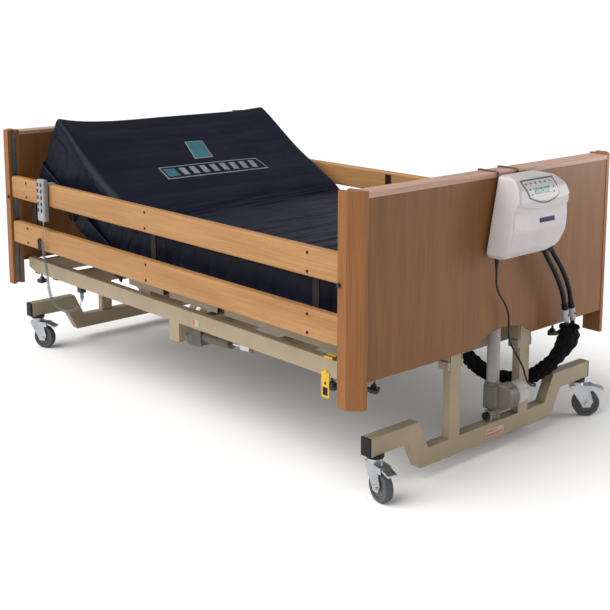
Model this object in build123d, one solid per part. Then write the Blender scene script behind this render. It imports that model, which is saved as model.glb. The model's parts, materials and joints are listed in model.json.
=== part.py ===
from build123d import *
import os
from math import cos, pi, radians, sin, tan

# Adjustable hospital bed: a full-width profiling bed on two wheeled end bases.
# The design is drawn about the middle of the bed at floor level, in millimetres:
# +X towards the foot end, the near side at -Y, +Z up. Every node is written moved
# along X by BOX_SHIFT, so that the origin stands under the middle of the whole box.

os.makedirs("parts", exist_ok=True)

# ---------------------------------------------------------------- driving sizes
BOX_SHIFT = -32              # half of what the pump reaches past the far end's lift motor

# end boards
BOARD_INNER = 1020           # inner face of each end board
BOARD_DEPTH = 75
BOARD_OUTER = BOARD_INNER + BOARD_DEPTH
HALF_WIDTH = 665             # outer face of the posts
POST_WIDTH = 54
POST_CHAMFER = 38
POST_BOTTOM = 315
POST_TOP = 985
BOARD_TOP = 980
TOP_RAIL_HEIGHT = 17
PANEL_BOTTOM = 400
PANEL_THICK = 15
ARCH_HALF = 165              # arch in the panel's lower edge, over the lift
ARCH_HEIGHT = 45
INNER_PANEL_BOTTOM = 430
INNER_PANEL_THICK = 3
POST_INSIDE = HALF_WIDTH - POST_WIDTH

# side rails, each of two bars
RAIL_Y = 638                 # middle of the bars and of the channels they run in
BAR_THICK = 36
BAR_HEIGHT = 94
UPPER_BAR_Z = 743
LOWER_BAR_Z = 548
BAR_END = 1016
CHANNEL_WIDTH = 22
CHANNEL_DEPTH = 16
CHANNEL_WALL = 2
STRUT_X = (-892, -10, 875)

# lying frame
BEAM_OUTER = 600
BEAM_INNER = 570
BEAM_BOTTOM = 372
BEAM_TOP = 430
BEAM_END = 996
WALL = 2
CROSS_TUBES = ((-640, -600), (-150, -112), (320, 360), (640, 680))
END_TUBE = (970, 1000)
END_TUBE_Z = (352, 412)
MID_TUBE = (60, 110)
MID_TUBE_Z = (328, 368)

# mattress platform, in four sections hinged at three pivots
PIVOT_Z = 457.5
PLATFORM_Z = (445, 470)
TUBE = 25
SIDE_TUBE_Y = (548, 573)
BACK_PIVOT = -270
THIGH_PIVOT = 0
KNEE_PIVOT = 330
PLATFORM_END = 985
BACK_REST_ANGLE = 28         # the back section is modelled raised by this angle
BACK_MAX_ANGLE = 60
THIGH_MAX_ANGLE = 35
PIN_R = 6
RUNNING = 0.06               # radial clearance of a pin in its eye

# mattress
MATTRESS_BOTTOM = 478
MATTRESS_TOP = 700
MATTRESS_HALF = 565
MATTRESS_HEAD = -1015
MATTRESS_FOOT = 995

# wheeled end bases
BASE_X = 1057
BASE_TUBE_X = (1037, 1077)
ARM_Z = (146, 206)
LOW_Z = (48, 108)
ARM_END = 572
CAP_THICK = 8
COLUMN_X = (1045, 1077)
COLUMN_Y = 183
COLUMN_HALF = 26
COLUMN_TOP = 880
CARRIAGE_X = (1036, 1076)
CARRIAGE_HALF = 34
SLEEVE_BOTTOM = 372
SLEEVE_TOP = 860
LIFT_X = 1054
LIFT_Y = 40
LIFT_PIN_Z = 128

# casters
CASTER_Y = 535
CASTER_TRAIL = 35
WHEEL_R = 50
WHEEL_HALF = 15
AXLE_R = 5

# mattress pump
PUMP_BACK = 1103
PUMP_FRONT = 1208

# cords
LEAD_D = 7
HOSE_D = 18
SLEEVE_R = 27
CURL_R = 7


# ---------------------------------------------------------------- shape helpers
def block(x, y, z):
    """A solid box from its three spans."""
    size = Box(x[1] - x[0], y[1] - y[0], z[1] - z[0])
    return Pos((x[0] + x[1]) / 2, (y[0] + y[1]) / 2, (z[0] + z[1]) / 2) * size


def box_tube(x, y, z, along, wall=WALL):
    """A rectangular tube, open at both ends of the axis it runs along."""
    spans = []
    for name, span in zip("xyz", (x, y, z)):
        grow = 1 if name == along else -wall
        spans.append((span[0] - grow, span[1] + grow))
    return block(x, y, z) - block(*spans)


def rod(start, end, radius):
    """A round bar between two points."""
    run = Vector(end) - Vector(start)
    return extrude(Plane(origin=start, z_dir=run) * Circle(radius), amount=run.length)


def pipe(start, end, radius, bore):
    """A round tube between two points."""
    run = Vector(end) - Vector(start)
    ring = Circle(radius) - Circle(bore)
    return extrude(Plane(origin=start, z_dir=run) * ring, amount=run.length)


def cone(start, end, start_radius, end_radius):
    """A tapered round bar between two points."""
    run = Vector(end) - Vector(start)
    first = Plane(origin=start, z_dir=run) * Circle(start_radius)
    last = Plane(origin=end, z_dir=run) * Circle(end_radius)
    return loft([first, last])


def prism_xz(points, y):
    """An outline in X and Z, as thick as the span y."""
    plane = Plane(origin=(0, y[1], 0), x_dir=(1, 0, 0), z_dir=(0, -1, 0))
    return extrude(plane * make_face(Polyline(*points, close=True)), amount=y[1] - y[0])


def prism_yz(points, x):
    """An outline in Y and Z, as thick as the span x."""
    plane = Plane(origin=(x[0], 0, 0), x_dir=(0, 1, 0), z_dir=(1, 0, 0))
    return extrude(plane * make_face(Polyline(*points, close=True)), amount=x[1] - x[0])


def prism_xy(points, z):
    """An outline in X and Y, as tall as the span z."""
    plane = Plane.XY.offset(z[0])
    return extrude(plane * make_face(Polyline(*points, close=True)), amount=z[1] - z[0])


def both_sides(*shapes):
    """The shapes and their mirror images on the other side of the bed."""
    return [*shapes, *(mirror(shape, about=Plane.XZ) for shape in shapes)]


def both_ends(*shapes):
    """The shapes and their mirror images at the other end of the bed."""
    return [*shapes, *(mirror(shape, about=Plane.YZ) for shape in shapes)]


def turned(shape, x, z, angle):
    """The shape turned about a crosswise axis; a positive angle lifts its head side."""
    return shape.rotate(Axis((x, 0, z), (0, 1, 0)), angle)


def save(name, *shapes):
    """Write one node, every separate piece of it as a solid of its own."""
    solids = [solid for shape in shapes for solid in shape.solids()]
    node = Pos(BOX_SHIFT, 0, 0) * Compound(solids)
    export_step(node, f"parts/{name}.step")


# ---------------------------------------------------------------- cords
def corner_radii(points):
    """One radius for each corner of a route, as large as its two runs allow."""
    radii = []
    for before, corner, after in zip(points, points[1:], points[2:]):
        run_in = Vector(corner) - Vector(before)
        run_out = Vector(after) - Vector(corner)
        half_turn = radians(run_in.get_angle(run_out)) / 2
        radii.append(0.45 * min(run_in.length, run_out.length) / tan(half_turn))
    return radii


def cord_tube(name, points, radius):
    """The tube of a cord along its route, with its bends and its length printed."""
    radii = corner_radii(points)
    path = FilletPolyline(*points, radius=radii)
    start = Plane(origin=path @ 0, z_dir=path % 0)
    tube = sweep(start * Circle(radius), path=path)
    expected = pi * radius ** 2 * path.length
    print(f"{name}: length {path.length:.0f} mm, volume {tube.volume / expected:.3f} of expected,"
          f" radii {[round(value) for value in radii]}")
    return tube


# ---------------------------------------------------------------- end boards
def foot_near_post():
    """One post of the footboard, with the slot that its rail channel sits in."""
    slot_low = -RAIL_Y - CHANNEL_WIDTH / 2
    slot_high = -RAIL_Y + CHANNEL_WIDTH / 2
    slot_back = BOARD_INNER + CHANNEL_DEPTH
    outline = [
        (BOARD_INNER, -HALF_WIDTH),
        (BOARD_OUTER - POST_CHAMFER, -HALF_WIDTH),
        (BOARD_OUTER, -HALF_WIDTH + POST_CHAMFER),
        (BOARD_OUTER, -POST_INSIDE),
        (BOARD_INNER, -POST_INSIDE),
        (BOARD_INNER, slot_high),
        (slot_back, slot_high),
        (slot_back, slot_low),
        (BOARD_INNER, slot_low),
    ]
    return prism_xy(outline, (POST_BOTTOM, POST_TOP)) - button_bore()


BUTTON_X = 1029
BUTTON_Z = 700
BUTTON_BORE = 5
BUTTON_TRAVEL = 3.8


def button_bore():
    """The bore that a release button slides in, through post and channel wall."""
    inner = -RAIL_Y - CHANNEL_WIDTH / 2 + CHANNEL_WALL + 0.5
    return rod((BUTTON_X, -HALF_WIDTH - 1, BUTTON_Z), (BUTTON_X, inner, BUTTON_Z), BUTTON_BORE)


def foot_near_channel():
    """The channel in a post that the ends of the side rail run in."""
    z = (POST_BOTTOM + 8, POST_TOP - 12)
    y = (-RAIL_Y - CHANNEL_WIDTH / 2, -RAIL_Y + CHANNEL_WIDTH / 2)
    x = (BOARD_INNER, BOARD_INNER + CHANNEL_DEPTH)
    hollow = block(
        (x[0] - 1, x[1] - CHANNEL_WALL),
        (y[0] + CHANNEL_WALL, y[1] - CHANNEL_WALL),
        (z[0] - 1, z[1] + 1),
    )
    return block(x, y, z) - hollow - button_bore()


def foot_top_rail():
    """The solid top rail of the footboard, between its posts."""
    rail = block(
        (BOARD_INNER, BOARD_OUTER),
        (-POST_INSIDE, POST_INSIDE),
        (BOARD_TOP - TOP_RAIL_HEIGHT, BOARD_TOP),
    )
    return fillet(rail.edges().filter_by(Axis.Y), 3)


def foot_panels():
    """The outer panel and the thin inner lining, with the lift between them."""
    y = (-POST_INSIDE, POST_INSIDE)
    top = BOARD_TOP - TOP_RAIL_HEIGHT
    outer_face = BOARD_OUTER - 2
    outer = block((outer_face - PANEL_THICK, outer_face), y, (PANEL_BOTTOM, top))
    arch_radius = (ARCH_HALF ** 2 + ARCH_HEIGHT ** 2) / (2 * ARCH_HEIGHT)
    arch_z = PANEL_BOTTOM + ARCH_HEIGHT - arch_radius
    outer = outer - rod((BOARD_INNER, LIFT_Y, arch_z), (BOARD_OUTER, LIFT_Y, arch_z), arch_radius)
    lining = block(
        (BOARD_INNER + 0.5, BOARD_INNER + 0.5 + INNER_PANEL_THICK), y, (INNER_PANEL_BOTTOM, top)
    )
    return [outer, lining]


# ---------------------------------------------------------------- side rails
def near_bar(z):
    """One wooden bar of a side rail."""
    bar = block(
        (-BAR_END, BAR_END),
        (-RAIL_Y - BAR_THICK / 2, -RAIL_Y + BAR_THICK / 2),
        (z - BAR_HEIGHT / 2, z + BAR_HEIGHT / 2),
    )
    return fillet(bar.edges().filter_by(Axis.X), 9)


def near_rail_fittings():
    """Struts behind the bars, the tongues that run in the channels, and the screws."""
    inner_face = -RAIL_Y + BAR_THICK / 2
    outer_face = -RAIL_Y - BAR_THICK / 2
    pieces = []
    for x in STRUT_X:
        strut_z = (LOWER_BAR_Z - 37, UPPER_BAR_Z + 37)
        pieces.append(block((x - 15, x + 15), (inner_face, inner_face + 5), strut_z))
        for bar_z in (UPPER_BAR_Z, LOWER_BAR_Z):
            for offset in (-30, 30):
                z = bar_z + offset
                pieces.append(rod((x, outer_face, z), (x, outer_face - 1.5, z), 5))
    for bar_z in (UPPER_BAR_Z, LOWER_BAR_Z):
        tongue = block((BAR_END, BAR_END + 12), (-RAIL_Y - 8, -RAIL_Y + 8), (bar_z - 37, bar_z + 37))
        pieces.extend(both_ends(tongue))
    return pieces


def foot_near_button():
    """A spring-return button that frees the side rail; it is pressed inwards."""
    head_back = -HALF_WIDTH - BUTTON_TRAVEL - 0.4
    head = rod((BUTTON_X, head_back, BUTTON_Z), (BUTTON_X, head_back - 4, BUTTON_Z), 7)
    stem = rod(
        (BUTTON_X, head_back, BUTTON_Z), (BUTTON_X, -HALF_WIDTH + 13, BUTTON_Z), BUTTON_BORE - RUNNING
    )
    return head + stem


# ---------------------------------------------------------------- wheeled end bases
def foot_base_tubes():
    """The welded base: low beam, two cranks up to the arms, and the two columns."""
    low = box_tube(BASE_TUBE_X, (-310, 310), LOW_Z, "y")
    crank_outline = [
        (310, LOW_Z[1]),
        (310, LOW_Z[0]),
        (348, LOW_Z[0]),
        (400, ARM_Z[0]),
        (400, ARM_Z[1]),
        (358, ARM_Z[1]),
    ]
    crank = prism_yz(crank_outline, BASE_TUBE_X)
    arm = box_tube(BASE_TUBE_X, (400, ARM_END), ARM_Z, "y")
    column_y = (COLUMN_Y - COLUMN_HALF, COLUMN_Y + COLUMN_HALF)
    column = box_tube(COLUMN_X, column_y, (LOW_Z[1], COLUMN_TOP), "z")
    return [low, *lift_ears(), *both_sides(crank, arm, column)]


def lift_ears():
    """The two ears on the low beam that the lift stands in."""
    x = (LIFT_X - 14, LIFT_X + 14)
    pin = rod((LIFT_X, LIFT_Y - 25, LIFT_PIN_Z), (LIFT_X, LIFT_Y + 25, LIFT_PIN_Z), PIN_R)
    near = block(x, (LIFT_Y - 23, LIFT_Y - 18), (LOW_Z[1], 144))
    far = block(x, (LIFT_Y + 18, LIFT_Y + 23), (LOW_Z[1], 144))
    return [near - pin, far - pin]


def foot_base_trim():
    """End caps of the arms, the swivel heads of the casters and the lift's pin."""
    cap = block(BASE_TUBE_X, (ARM_END, ARM_END + CAP_THICK), ARM_Z)
    cap = fillet(cap.faces().sort_by(Axis.Y)[-1].edges(), 3)
    head = rod((BASE_X, CASTER_Y, 135), (BASE_X, CASTER_Y, ARM_Z[0]), 29)
    pin = rod((LIFT_X, LIFT_Y - 25, LIFT_PIN_Z), (LIFT_X, LIFT_Y + 32, LIFT_PIN_Z), PIN_R)
    knob = rod((LIFT_X, LIFT_Y - 39, LIFT_PIN_Z), (LIFT_X, LIFT_Y - 25, LIFT_PIN_Z), 13)
    nut = pipe((LIFT_X, LIFT_Y + 25, LIFT_PIN_Z), (LIFT_X, LIFT_Y + 32, LIFT_PIN_Z), 10, PIN_R)
    return [*both_sides(cap, head), pin + knob, nut]


def foot_lift_actuator():
    """The lift motor: a gearbox, a motor that stands out past it and the outer tube."""
    gearbox = block((LIFT_X - 26, LIFT_X + 36), (LIFT_Y - 17, LIFT_Y + 30), (144, 238))
    gearbox = fillet(gearbox.edges().filter_by(Axis.X), 12)
    gearbox = gearbox - rod((LIFT_X, LIFT_Y, 165), (LIFT_X, LIFT_Y, 239), 18)
    motor_x, motor_z = LIFT_X + 46, 202
    cover = rod((motor_x, LIFT_Y - 12, motor_z), (motor_x, LIFT_Y + 42, motor_z), 44)
    cover = fillet(cover.edges().filter_by(GeomType.CIRCLE), 7) - block(
        (LIFT_X - 26, LIFT_X + 36), (LIFT_Y - 30, LIFT_Y + 60), (140, 260)
    )
    can = rod((motor_x, LIFT_Y + 42, motor_z), (motor_x, LIFT_Y + 100, motor_z), 38)
    can = fillet(can.faces().sort_by(Axis.Y)[-1].edges(), 12)
    tube = pipe((LIFT_X, LIFT_Y, 238), (LIFT_X, LIFT_Y, 610), 22, 18)
    lug = block((LIFT_X - 12, LIFT_X + 12), (LIFT_Y - 17, LIFT_Y + 17), (113, 144))
    lug = lug - rod((LIFT_X, LIFT_Y - 18, LIFT_PIN_Z), (LIFT_X, LIFT_Y + 18, LIFT_PIN_Z), PIN_R)
    return [gearbox, cover, can, tube, lug]


def wrap_round_column(outside, x_inside, half_inside, z):
    """A channel round three sides of a column; its open side faces the end panel."""
    inside = block((x_inside, outside[1] + 1), (COLUMN_Y - half_inside, COLUMN_Y + half_inside), z)
    half_outside = outside[2]
    body = block(outside[:2], (COLUMN_Y - half_outside, COLUMN_Y + half_outside), z)
    return body - inside


def foot_carriage():
    """The channels that slide on the columns, joined to the lying frame."""
    z = (SLEEVE_BOTTOM, SLEEVE_TOP)
    channel = wrap_round_column((*CARRIAGE_X, CARRIAGE_HALF), CARRIAGE_X[0] + 3, CARRIAGE_HALF - 3, z)
    bridge = block(
        (END_TUBE[1], CARRIAGE_X[0]),
        (COLUMN_Y - CARRIAGE_HALF, COLUMN_Y + CARRIAGE_HALF),
        (SLEEVE_BOTTOM, END_TUBE_Z[1]),
    )
    reach = COLUMN_Y - CARRIAGE_HALF
    crosshead = block((LIFT_X - 15, LIFT_X + 15), (-reach, reach), (692, 722))
    return [crosshead, *both_sides(channel, bridge)]


def foot_collar():
    """The plastic guide at the foot of a channel, running on the column."""
    outside = (CARRIAGE_X[0] - 2, CARRIAGE_X[1], CARRIAGE_HALF + 4)
    return wrap_round_column(outside, COLUMN_X[0] - 0.5, COLUMN_HALF + 0.5, (345, SLEEVE_BOTTOM))


def foot_lift_rod():
    """The lift's piston rod, hung from the crosshead."""
    return rod((LIFT_X, LIFT_Y, 240), (LIFT_X, LIFT_Y, 692), 11)


def hand_screw(x, y, top):
    """One hand screw hanging from the surface at height top: stem, hub and lobed head."""
    stem = rod((x, y, top - 18), (x, y, top), 4)
    hub = cone((x, y, top - 30), (x, y, top - 18), 14, 7)
    grip = rod((x, y, top - 42), (x, y, top - 30), 17)
    for angle in (30, 150, 270):
        lobe_x = x + 14 * cos(radians(angle))
        lobe_y = y + 14 * sin(radians(angle))
        grip = grip + rod((lobe_x, lobe_y, top - 42), (lobe_x, lobe_y, top - 30), 9)
    return stem + hub + grip


def hand_screws():
    """Hand screws that clamp the side beams and the end frames together."""
    screws = [hand_screw(915, 585, BEAM_BOTTOM), hand_screw(985, 470, END_TUBE_Z[0])]
    return both_sides(*both_ends(*screws))


# ---------------------------------------------------------------- lying frame
KNEE_MOTOR = (-240, 200)     # rear pivot of the knee actuator, X and Z
BACK_MOTOR = (318, 280)
ACTUATOR_Y = 300


def side_beam():
    """One side beam, its lower edge cut back at both ends."""
    beam = box_tube((-BEAM_END, BEAM_END), (BEAM_INNER, BEAM_OUTER), (BEAM_BOTTOM, BEAM_TOP), "x")
    cut = prism_xz(
        [(935, BEAM_BOTTOM - 1), (997, BEAM_BOTTOM - 1), (997, 389)], (BEAM_INNER - 1, BEAM_OUTER + 1)
    )
    for wedge in both_ends(cut):
        beam = beam - wedge
    return beam


def motor_bracket(outline, pivot, y):
    """Two plates and the pin between them that hold an actuator's rear end."""
    low = prism_xz(outline, (y - 36, y - 30))
    high = prism_xz(outline, (y + 30, y + 36))
    pin = rod((pivot[0], y - 31, pivot[1]), (pivot[0], y + 31, pivot[1]), PIN_R)
    return low + pin + high


def main_frame():
    """Side beams, cross tubes, the dropped middle tube and the motor brackets."""
    span = (-BEAM_INNER, BEAM_INNER)
    pieces = both_sides(side_beam())
    for x in CROSS_TUBES:
        pieces.append(box_tube(x, span, (BEAM_BOTTOM, BEAM_TOP), "y"))
    pieces.extend(both_ends(box_tube(END_TUBE, span, END_TUBE_Z, "y")))
    pieces.append(box_tube(MID_TUBE, span, MID_TUBE_Z, "y"))
    drop = box_tube((54, 114), (BEAM_INNER, BEAM_OUTER), (299, BEAM_BOTTOM), "z")
    pieces.extend(both_sides(drop))
    knee_outline = [(-150, 372), (-119, 372), (-226, 184), (-258, 184), (-258, 212)]
    pieces.append(motor_bracket(knee_outline, KNEE_MOTOR, -ACTUATOR_Y))
    back_outline = [(320, 372), (360, 372), (338, 262), (300, 262), (300, 298)]
    pieces.append(motor_bracket(back_outline, BACK_MOTOR, ACTUATOR_Y))
    spacer = block(CROSS_TUBES[1], (SIDE_TUBE_Y[0], BEAM_INNER), (BEAM_TOP, PLATFORM_Z[0]))
    pieces.extend(both_sides(spacer))
    return pieces


# ---------------------------------------------------------------- mattress platform
def platform_side(x):
    """The side tubes of one section."""
    return both_sides(box_tube(x, SIDE_TUBE_Y, PLATFORM_Z, "x"))


def platform_cross(start):
    """A cross tube of a section, from its head-side face."""
    span = (-SIDE_TUBE_Y[0], SIDE_TUBE_Y[0])
    return box_tube((start, start + TUBE), span, PLATFORM_Z, "y")


def slats(first, last, count):
    """Evenly spaced slats across a section, flush with its top."""
    span = (-SIDE_TUBE_Y[0], SIDE_TUBE_Y[0])
    step = (last - first) / (count - 1)
    starts = [first + step * index for index in range(count)]
    return [block((x, x + 40), span, (PLATFORM_Z[1] - 3, PLATFORM_Z[1])) for x in starts]


def hinge_pin_plate(pivot, root):
    """A plate from a cross tube's face to a pivot, with the hinge pin on it."""
    end = pivot + (14 if pivot > root else -14)
    plate = block((min(root, end), max(root, end)), (520, 528), PLATFORM_Z)
    pin = rod((pivot, 520, PIVOT_Z), (pivot, 545, PIVOT_Z), PIN_R)
    return both_sides(plate + pin)


def hinge_eye_plate(pivot, root):
    """A plate from a cross tube's face to a pivot, with the eye that turns on the pin."""
    end = pivot + (14 if pivot > root else -14)
    plate = block((min(root, end), max(root, end)), (531, 540), PLATFORM_Z)
    eye = rod((pivot, 530, PIVOT_Z), (pivot, 541, PIVOT_Z), PIN_R + RUNNING)
    return both_sides(plate - eye)


def seat_section():
    """The fixed seat section between the back and thigh pivots."""
    return [
        *platform_side((-250, -20)),
        platform_cross(-222),
        platform_cross(-73),
        *slats(-180, -130, 2),
        *hinge_pin_plate(BACK_PIVOT, -222),
        *hinge_pin_plate(THIGH_PIVOT, -48),
    ]


def lever_point(distance, offset):
    """A point of the back lever while the back section lies flat."""
    angle = radians(BACK_REST_ANGLE)
    x = BACK_PIVOT + distance * sin(angle) + offset * cos(angle)
    z = PIVOT_Z - distance * cos(angle) + offset * sin(angle)
    return (x, z)


def back_lever():
    """The lever under the back section, slotted for the actuator's cross pin."""
    outline = [
        (-343, PLATFORM_Z[0]),
        lever_point(110, -18),
        lever_point(232, -18),
        lever_point(232, 18),
        lever_point(110, 18),
        (-318, PLATFORM_Z[0]),
    ]
    slot = [
        lever_point(166, -11),
        lever_point(220, -11),
        lever_point(220, 11),
        lever_point(166, 11),
    ]
    plate = prism_xz(outline, (ACTUATOR_Y - 5, ACTUATOR_Y + 5))
    return plate - prism_xz(slot, (ACTUATOR_Y - 6, ACTUATOR_Y + 6))


def back_section():
    """The back section, drawn flat and then raised to its modelled angle."""
    flat = [
        *platform_side((-PLATFORM_END, -290)),
        platform_cross(-PLATFORM_END),
        platform_cross(-660),
        platform_cross(-343),
        *slats(-930, -720, 3),
        *slats(-600, -400, 3),
        *hinge_eye_plate(BACK_PIVOT, -318),
        back_lever(),
    ]
    return [turned(piece, BACK_PIVOT, PIVOT_Z, BACK_REST_ANGLE) for piece in flat]


KNEE_LEVER_PIN = (150, 225)  # where the knee actuator's cross pin meets the lever


def thigh_section():
    """The thigh section with the lever that the knee actuator pushes."""
    x, z = KNEE_LEVER_PIN
    lever = prism_xz(
        [
            (185, PLATFORM_Z[0]),
            (216, PLATFORM_Z[0]),
            (x + 20, z - 16),
            (x - 20, z - 20),
            (x - 20, z + 8),
        ],
        (-ACTUATOR_Y - 5, -ACTUATOR_Y + 5),
    )
    hole = rod((x, -ACTUATOR_Y - 6, z), (x, -ACTUATOR_Y + 6, z), PIN_R + 7)
    return [
        *platform_side((20, 310)),
        platform_cross(48),
        platform_cross(188),
        platform_cross(257),
        *slats(85, 140, 2),
        *hinge_eye_plate(THIGH_PIVOT, 48),
        *hinge_pin_plate(KNEE_PIVOT, 282),
        lever - hole,
    ]


def calf_section():
    """The calf section, from the knee to the foot end."""
    return [
        *platform_side((350, PLATFORM_END)),
        platform_cross(388),
        platform_cross(PLATFORM_END - TUBE),
        *slats(440, 890, 5),
        *hinge_eye_plate(KNEE_PIVOT, 388),
    ]


# ---------------------------------------------------------------- section actuators
def actuator_body(rear, y, can_y, tube_end, side):
    """Gearbox, motor and outer tube of a section actuator that lies along X."""
    x, z = rear

    def span(near, far):
        return (min(x + side * near, x + side * far), max(x + side * near, x + side * far))

    lug = block(span(-12, 20), (y - 14, y + 14), (z - 13, z + 13))
    lug = lug - rod((x, y - 15, z), (x, y + 15, z), PIN_R + RUNNING)
    gearbox = block(span(20, 116), (y - 27, y + 27), (z - 40, z + 40))
    gearbox = fillet(gearbox.edges().filter_by(Axis.Y), 16)
    motor = rod((x + side * 84, y + can_y * 27, z), (x + side * 84, y + can_y * 140, z), 30)
    motor = fillet(motor.faces().sort_by(Axis.Y)[-1 if can_y > 0 else 0].edges(), 8)
    tube = pipe((x + side * 116, y, z), (x + side * tube_end, y, z), 23, 10.5)
    return [lug, gearbox, motor, tube]


def actuator_rod(rear, y, rod_span, pin_at, side):
    """Piston rod with the fork and cross pin that drive a lever."""
    x, z = rear
    shaft = rod((x + side * rod_span[0], y, z), (x + side * rod_span[1], y, z), 10)
    fork_end = x + side * (pin_at + 14)
    fork_back = x + side * rod_span[1]
    cheek_x = (min(fork_end, fork_back), max(fork_end, fork_back))
    bridge_end = fork_back + side * 8
    bridge_x = (min(fork_back, bridge_end), max(fork_back, bridge_end))
    fork_z = (z - 12, z + 12)
    bridge = block(bridge_x, (y - 14, y + 14), fork_z)
    cheeks = block(cheek_x, (y - 14, y - 8), fork_z) + block(cheek_x, (y + 8, y + 14), fork_z)
    pin_x = x + side * pin_at
    pin = rod((pin_x, y - 14, z), (pin_x, y + 14, z), PIN_R)
    return shaft + bridge + cheeks + pin


KNEE_REACH = 390.8           # from the knee actuator's rear pivot to its cross pin
KNEE_TILT = -3.667           # it lies this much nose up
BACK_REACH = BACK_MOTOR[0] - BACK_PIVOT


# ---------------------------------------------------------------- mattress
def mattress_part(outline):
    """One part of the mattress, between the hinge lines of the platform."""
    return prism_xz(outline, (-MATTRESS_HALF, MATTRESS_HALF))


def mattress_parts():
    """Back, seat, thigh and calf parts, with room between them for the folds."""
    low, high = MATTRESS_BOTTOM, MATTRESS_TOP
    height = high - PIVOT_Z
    back_lean = height * tan(radians(BACK_MAX_ANGLE / 2))
    thigh_lean = height * tan(radians(THIGH_MAX_ANGLE / 2))
    back = mattress_part([
        (MATTRESS_HEAD, low),
        (BACK_PIVOT - 12, low),
        (BACK_PIVOT - 12 - back_lean, high),
        (MATTRESS_HEAD, high),
    ])
    seat = mattress_part([
        (BACK_PIVOT + 12, low),
        (THIGH_PIVOT - 10, low),
        (THIGH_PIVOT - 10 - thigh_lean, high),
        (BACK_PIVOT + 12 + back_lean, high),
    ])
    thigh = mattress_part([
        (THIGH_PIVOT + 10, low),
        (KNEE_PIVOT - 4, low),
        (KNEE_PIVOT - 4, high),
        (THIGH_PIVOT + 10 + thigh_lean, high),
    ])
    calf = mattress_part([
        (KNEE_PIVOT + 4, low),
        (MATTRESS_FOOT, low),
        (MATTRESS_FOOT, high),
        (KNEE_PIVOT + 4, high),
    ])
    return turned(back, BACK_PIVOT, PIVOT_Z, BACK_REST_ANGLE), seat, thigh, calf


# ---------------------------------------------------------------- casters
def placed_caster(shape, x, y, heading):
    """A caster piece, drawn about its swivel axis, put under its base."""
    return Pos(x, y, 0) * Rot(0, 0, heading) * shape


def caster_fork():
    """Swivel crown, two side plates and the axle with its nuts."""
    crown = rod((0, 0, 120), (0, 0, 134.5), 25) + block((-25, 44), (-22, 22), (106, 120))
    plate = [(-25, 106), (44, 106), (58, 60), (48, 36), (22, 36), (8, 60)]
    cheeks = prism_xz(plate, (-22, -18)) + prism_xz(plate, (18, 22))
    axle = rod((CASTER_TRAIL, -27, WHEEL_R), (CASTER_TRAIL, 27, WHEEL_R), AXLE_R)
    nuts = [
        rod((CASTER_TRAIL, -27, WHEEL_R), (CASTER_TRAIL, -22, WHEEL_R), 9),
        rod((CASTER_TRAIL, 22, WHEEL_R), (CASTER_TRAIL, 27, WHEEL_R), 9),
    ]
    pedal_ear = [
        block((40, 60), (-22, -18), (100, 120)),
        block((40, 60), (18, 22), (100, 120)),
    ]
    pedal_pin = rod((52, -20, 112), (52, 20, 112), 3)
    return crown + cheeks + axle + nuts + pedal_ear + pedal_pin


def caster_wheel():
    """Tyre and hub, with a running bore for the axle."""
    tyre = rod((CASTER_TRAIL, -WHEEL_HALF, WHEEL_R), (CASTER_TRAIL, WHEEL_HALF, WHEEL_R), WHEEL_R)
    tyre = fillet(tyre.edges().filter_by(GeomType.CIRCLE), 5)
    for side in (-1, 1):
        y_out = side * (WHEEL_HALF + 1)
        y_in = side * (WHEEL_HALF - 4)
        tyre = tyre - pipe((CASTER_TRAIL, y_in, WHEEL_R), (CASTER_TRAIL, y_out, WHEEL_R), 36, 13)
    bore = rod((CASTER_TRAIL, -20, WHEEL_R), (CASTER_TRAIL, 20, WHEEL_R), AXLE_R + RUNNING)
    return tyre - bore


def brake_pedal():
    """The pedal that is trodden down to lock the wheel."""
    hub = rod((52, -15, 112), (52, 15, 112), 6.5)
    tread = prism_xz([(55, 117), (60, 118), (98, 108), (97, 101), (60, 109), (55, 108)], (-17, 17))
    return hub + tread - rod((52, -20, 112), (52, 20, 112), 3 + RUNNING)


CASTERS = {
    "foot_near": (1, -1, -12),
    "foot_far": (1, 1, 48),
    "head_near": (-1, -1, 22),
    "head_far": (-1, 1, -35),
}


# ---------------------------------------------------------------- mattress pump
HOSE_EXITS = ((1140, 188), (1140, 213))
BOOT_X, BOOT_Y, BOOT_TOP = 1128, -50, 700


def pump_case():
    """The pump's case: its side outline crossed with its front outline."""
    side = prism_xz(
        [
            (PUMP_BACK, 702), (PUMP_BACK, 972), (1140, 975), (1175, 963), (1197, 930),
            (PUMP_FRONT, 892), (1205, 870), (1197, 861), (1198, 790), (1191, 735),
            (1170, 708), (1140, 700),
        ],
        (-90, 250),
    )
    front = prism_yz(
        [
            (-79, 718), (-66, 704), (-30, 700), (140, 702), (195, 722), (226, 770),
            (236, 830), (238, 885), (222, 935), (190, 962), (140, 975), (-10, 975), (-26, 968),
        ],
        (PUMP_BACK - 1, PUMP_FRONT + 1),
    )
    case = side & front
    for x, y in HOSE_EXITS:
        case = case - rod((x, y, 690), (x, y, 768), 11)
    return case - rod((BOOT_X, BOOT_Y, BOOT_TOP), (BOOT_X, BOOT_Y, BOOT_TOP + 10), 9)


def pump_hook(y):
    """A wire hook over the top of the footboard."""
    top = BOARD_TOP + 3.2
    points = [(1099.5, y, 930), (1099.5, y, top), (1016.5, y, top), (1016.5, y, 945)]
    path = FilletPolyline(*points, radius=5)
    start = Plane(origin=path @ 0, z_dir=path % 0)
    return sweep(start * Circle(3), path=path)


def pump_lead_boot():
    """The strain relief that the mains lead leaves the pump through."""
    collar = rod((BOOT_X, BOOT_Y, BOOT_TOP), (BOOT_X, BOOT_Y, BOOT_TOP + 10), 9)
    relief = cone((BOOT_X, BOOT_Y, BOOT_TOP), (BOOT_X, BOOT_Y, 664), 7.5, 4.2)
    return collar + relief


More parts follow.
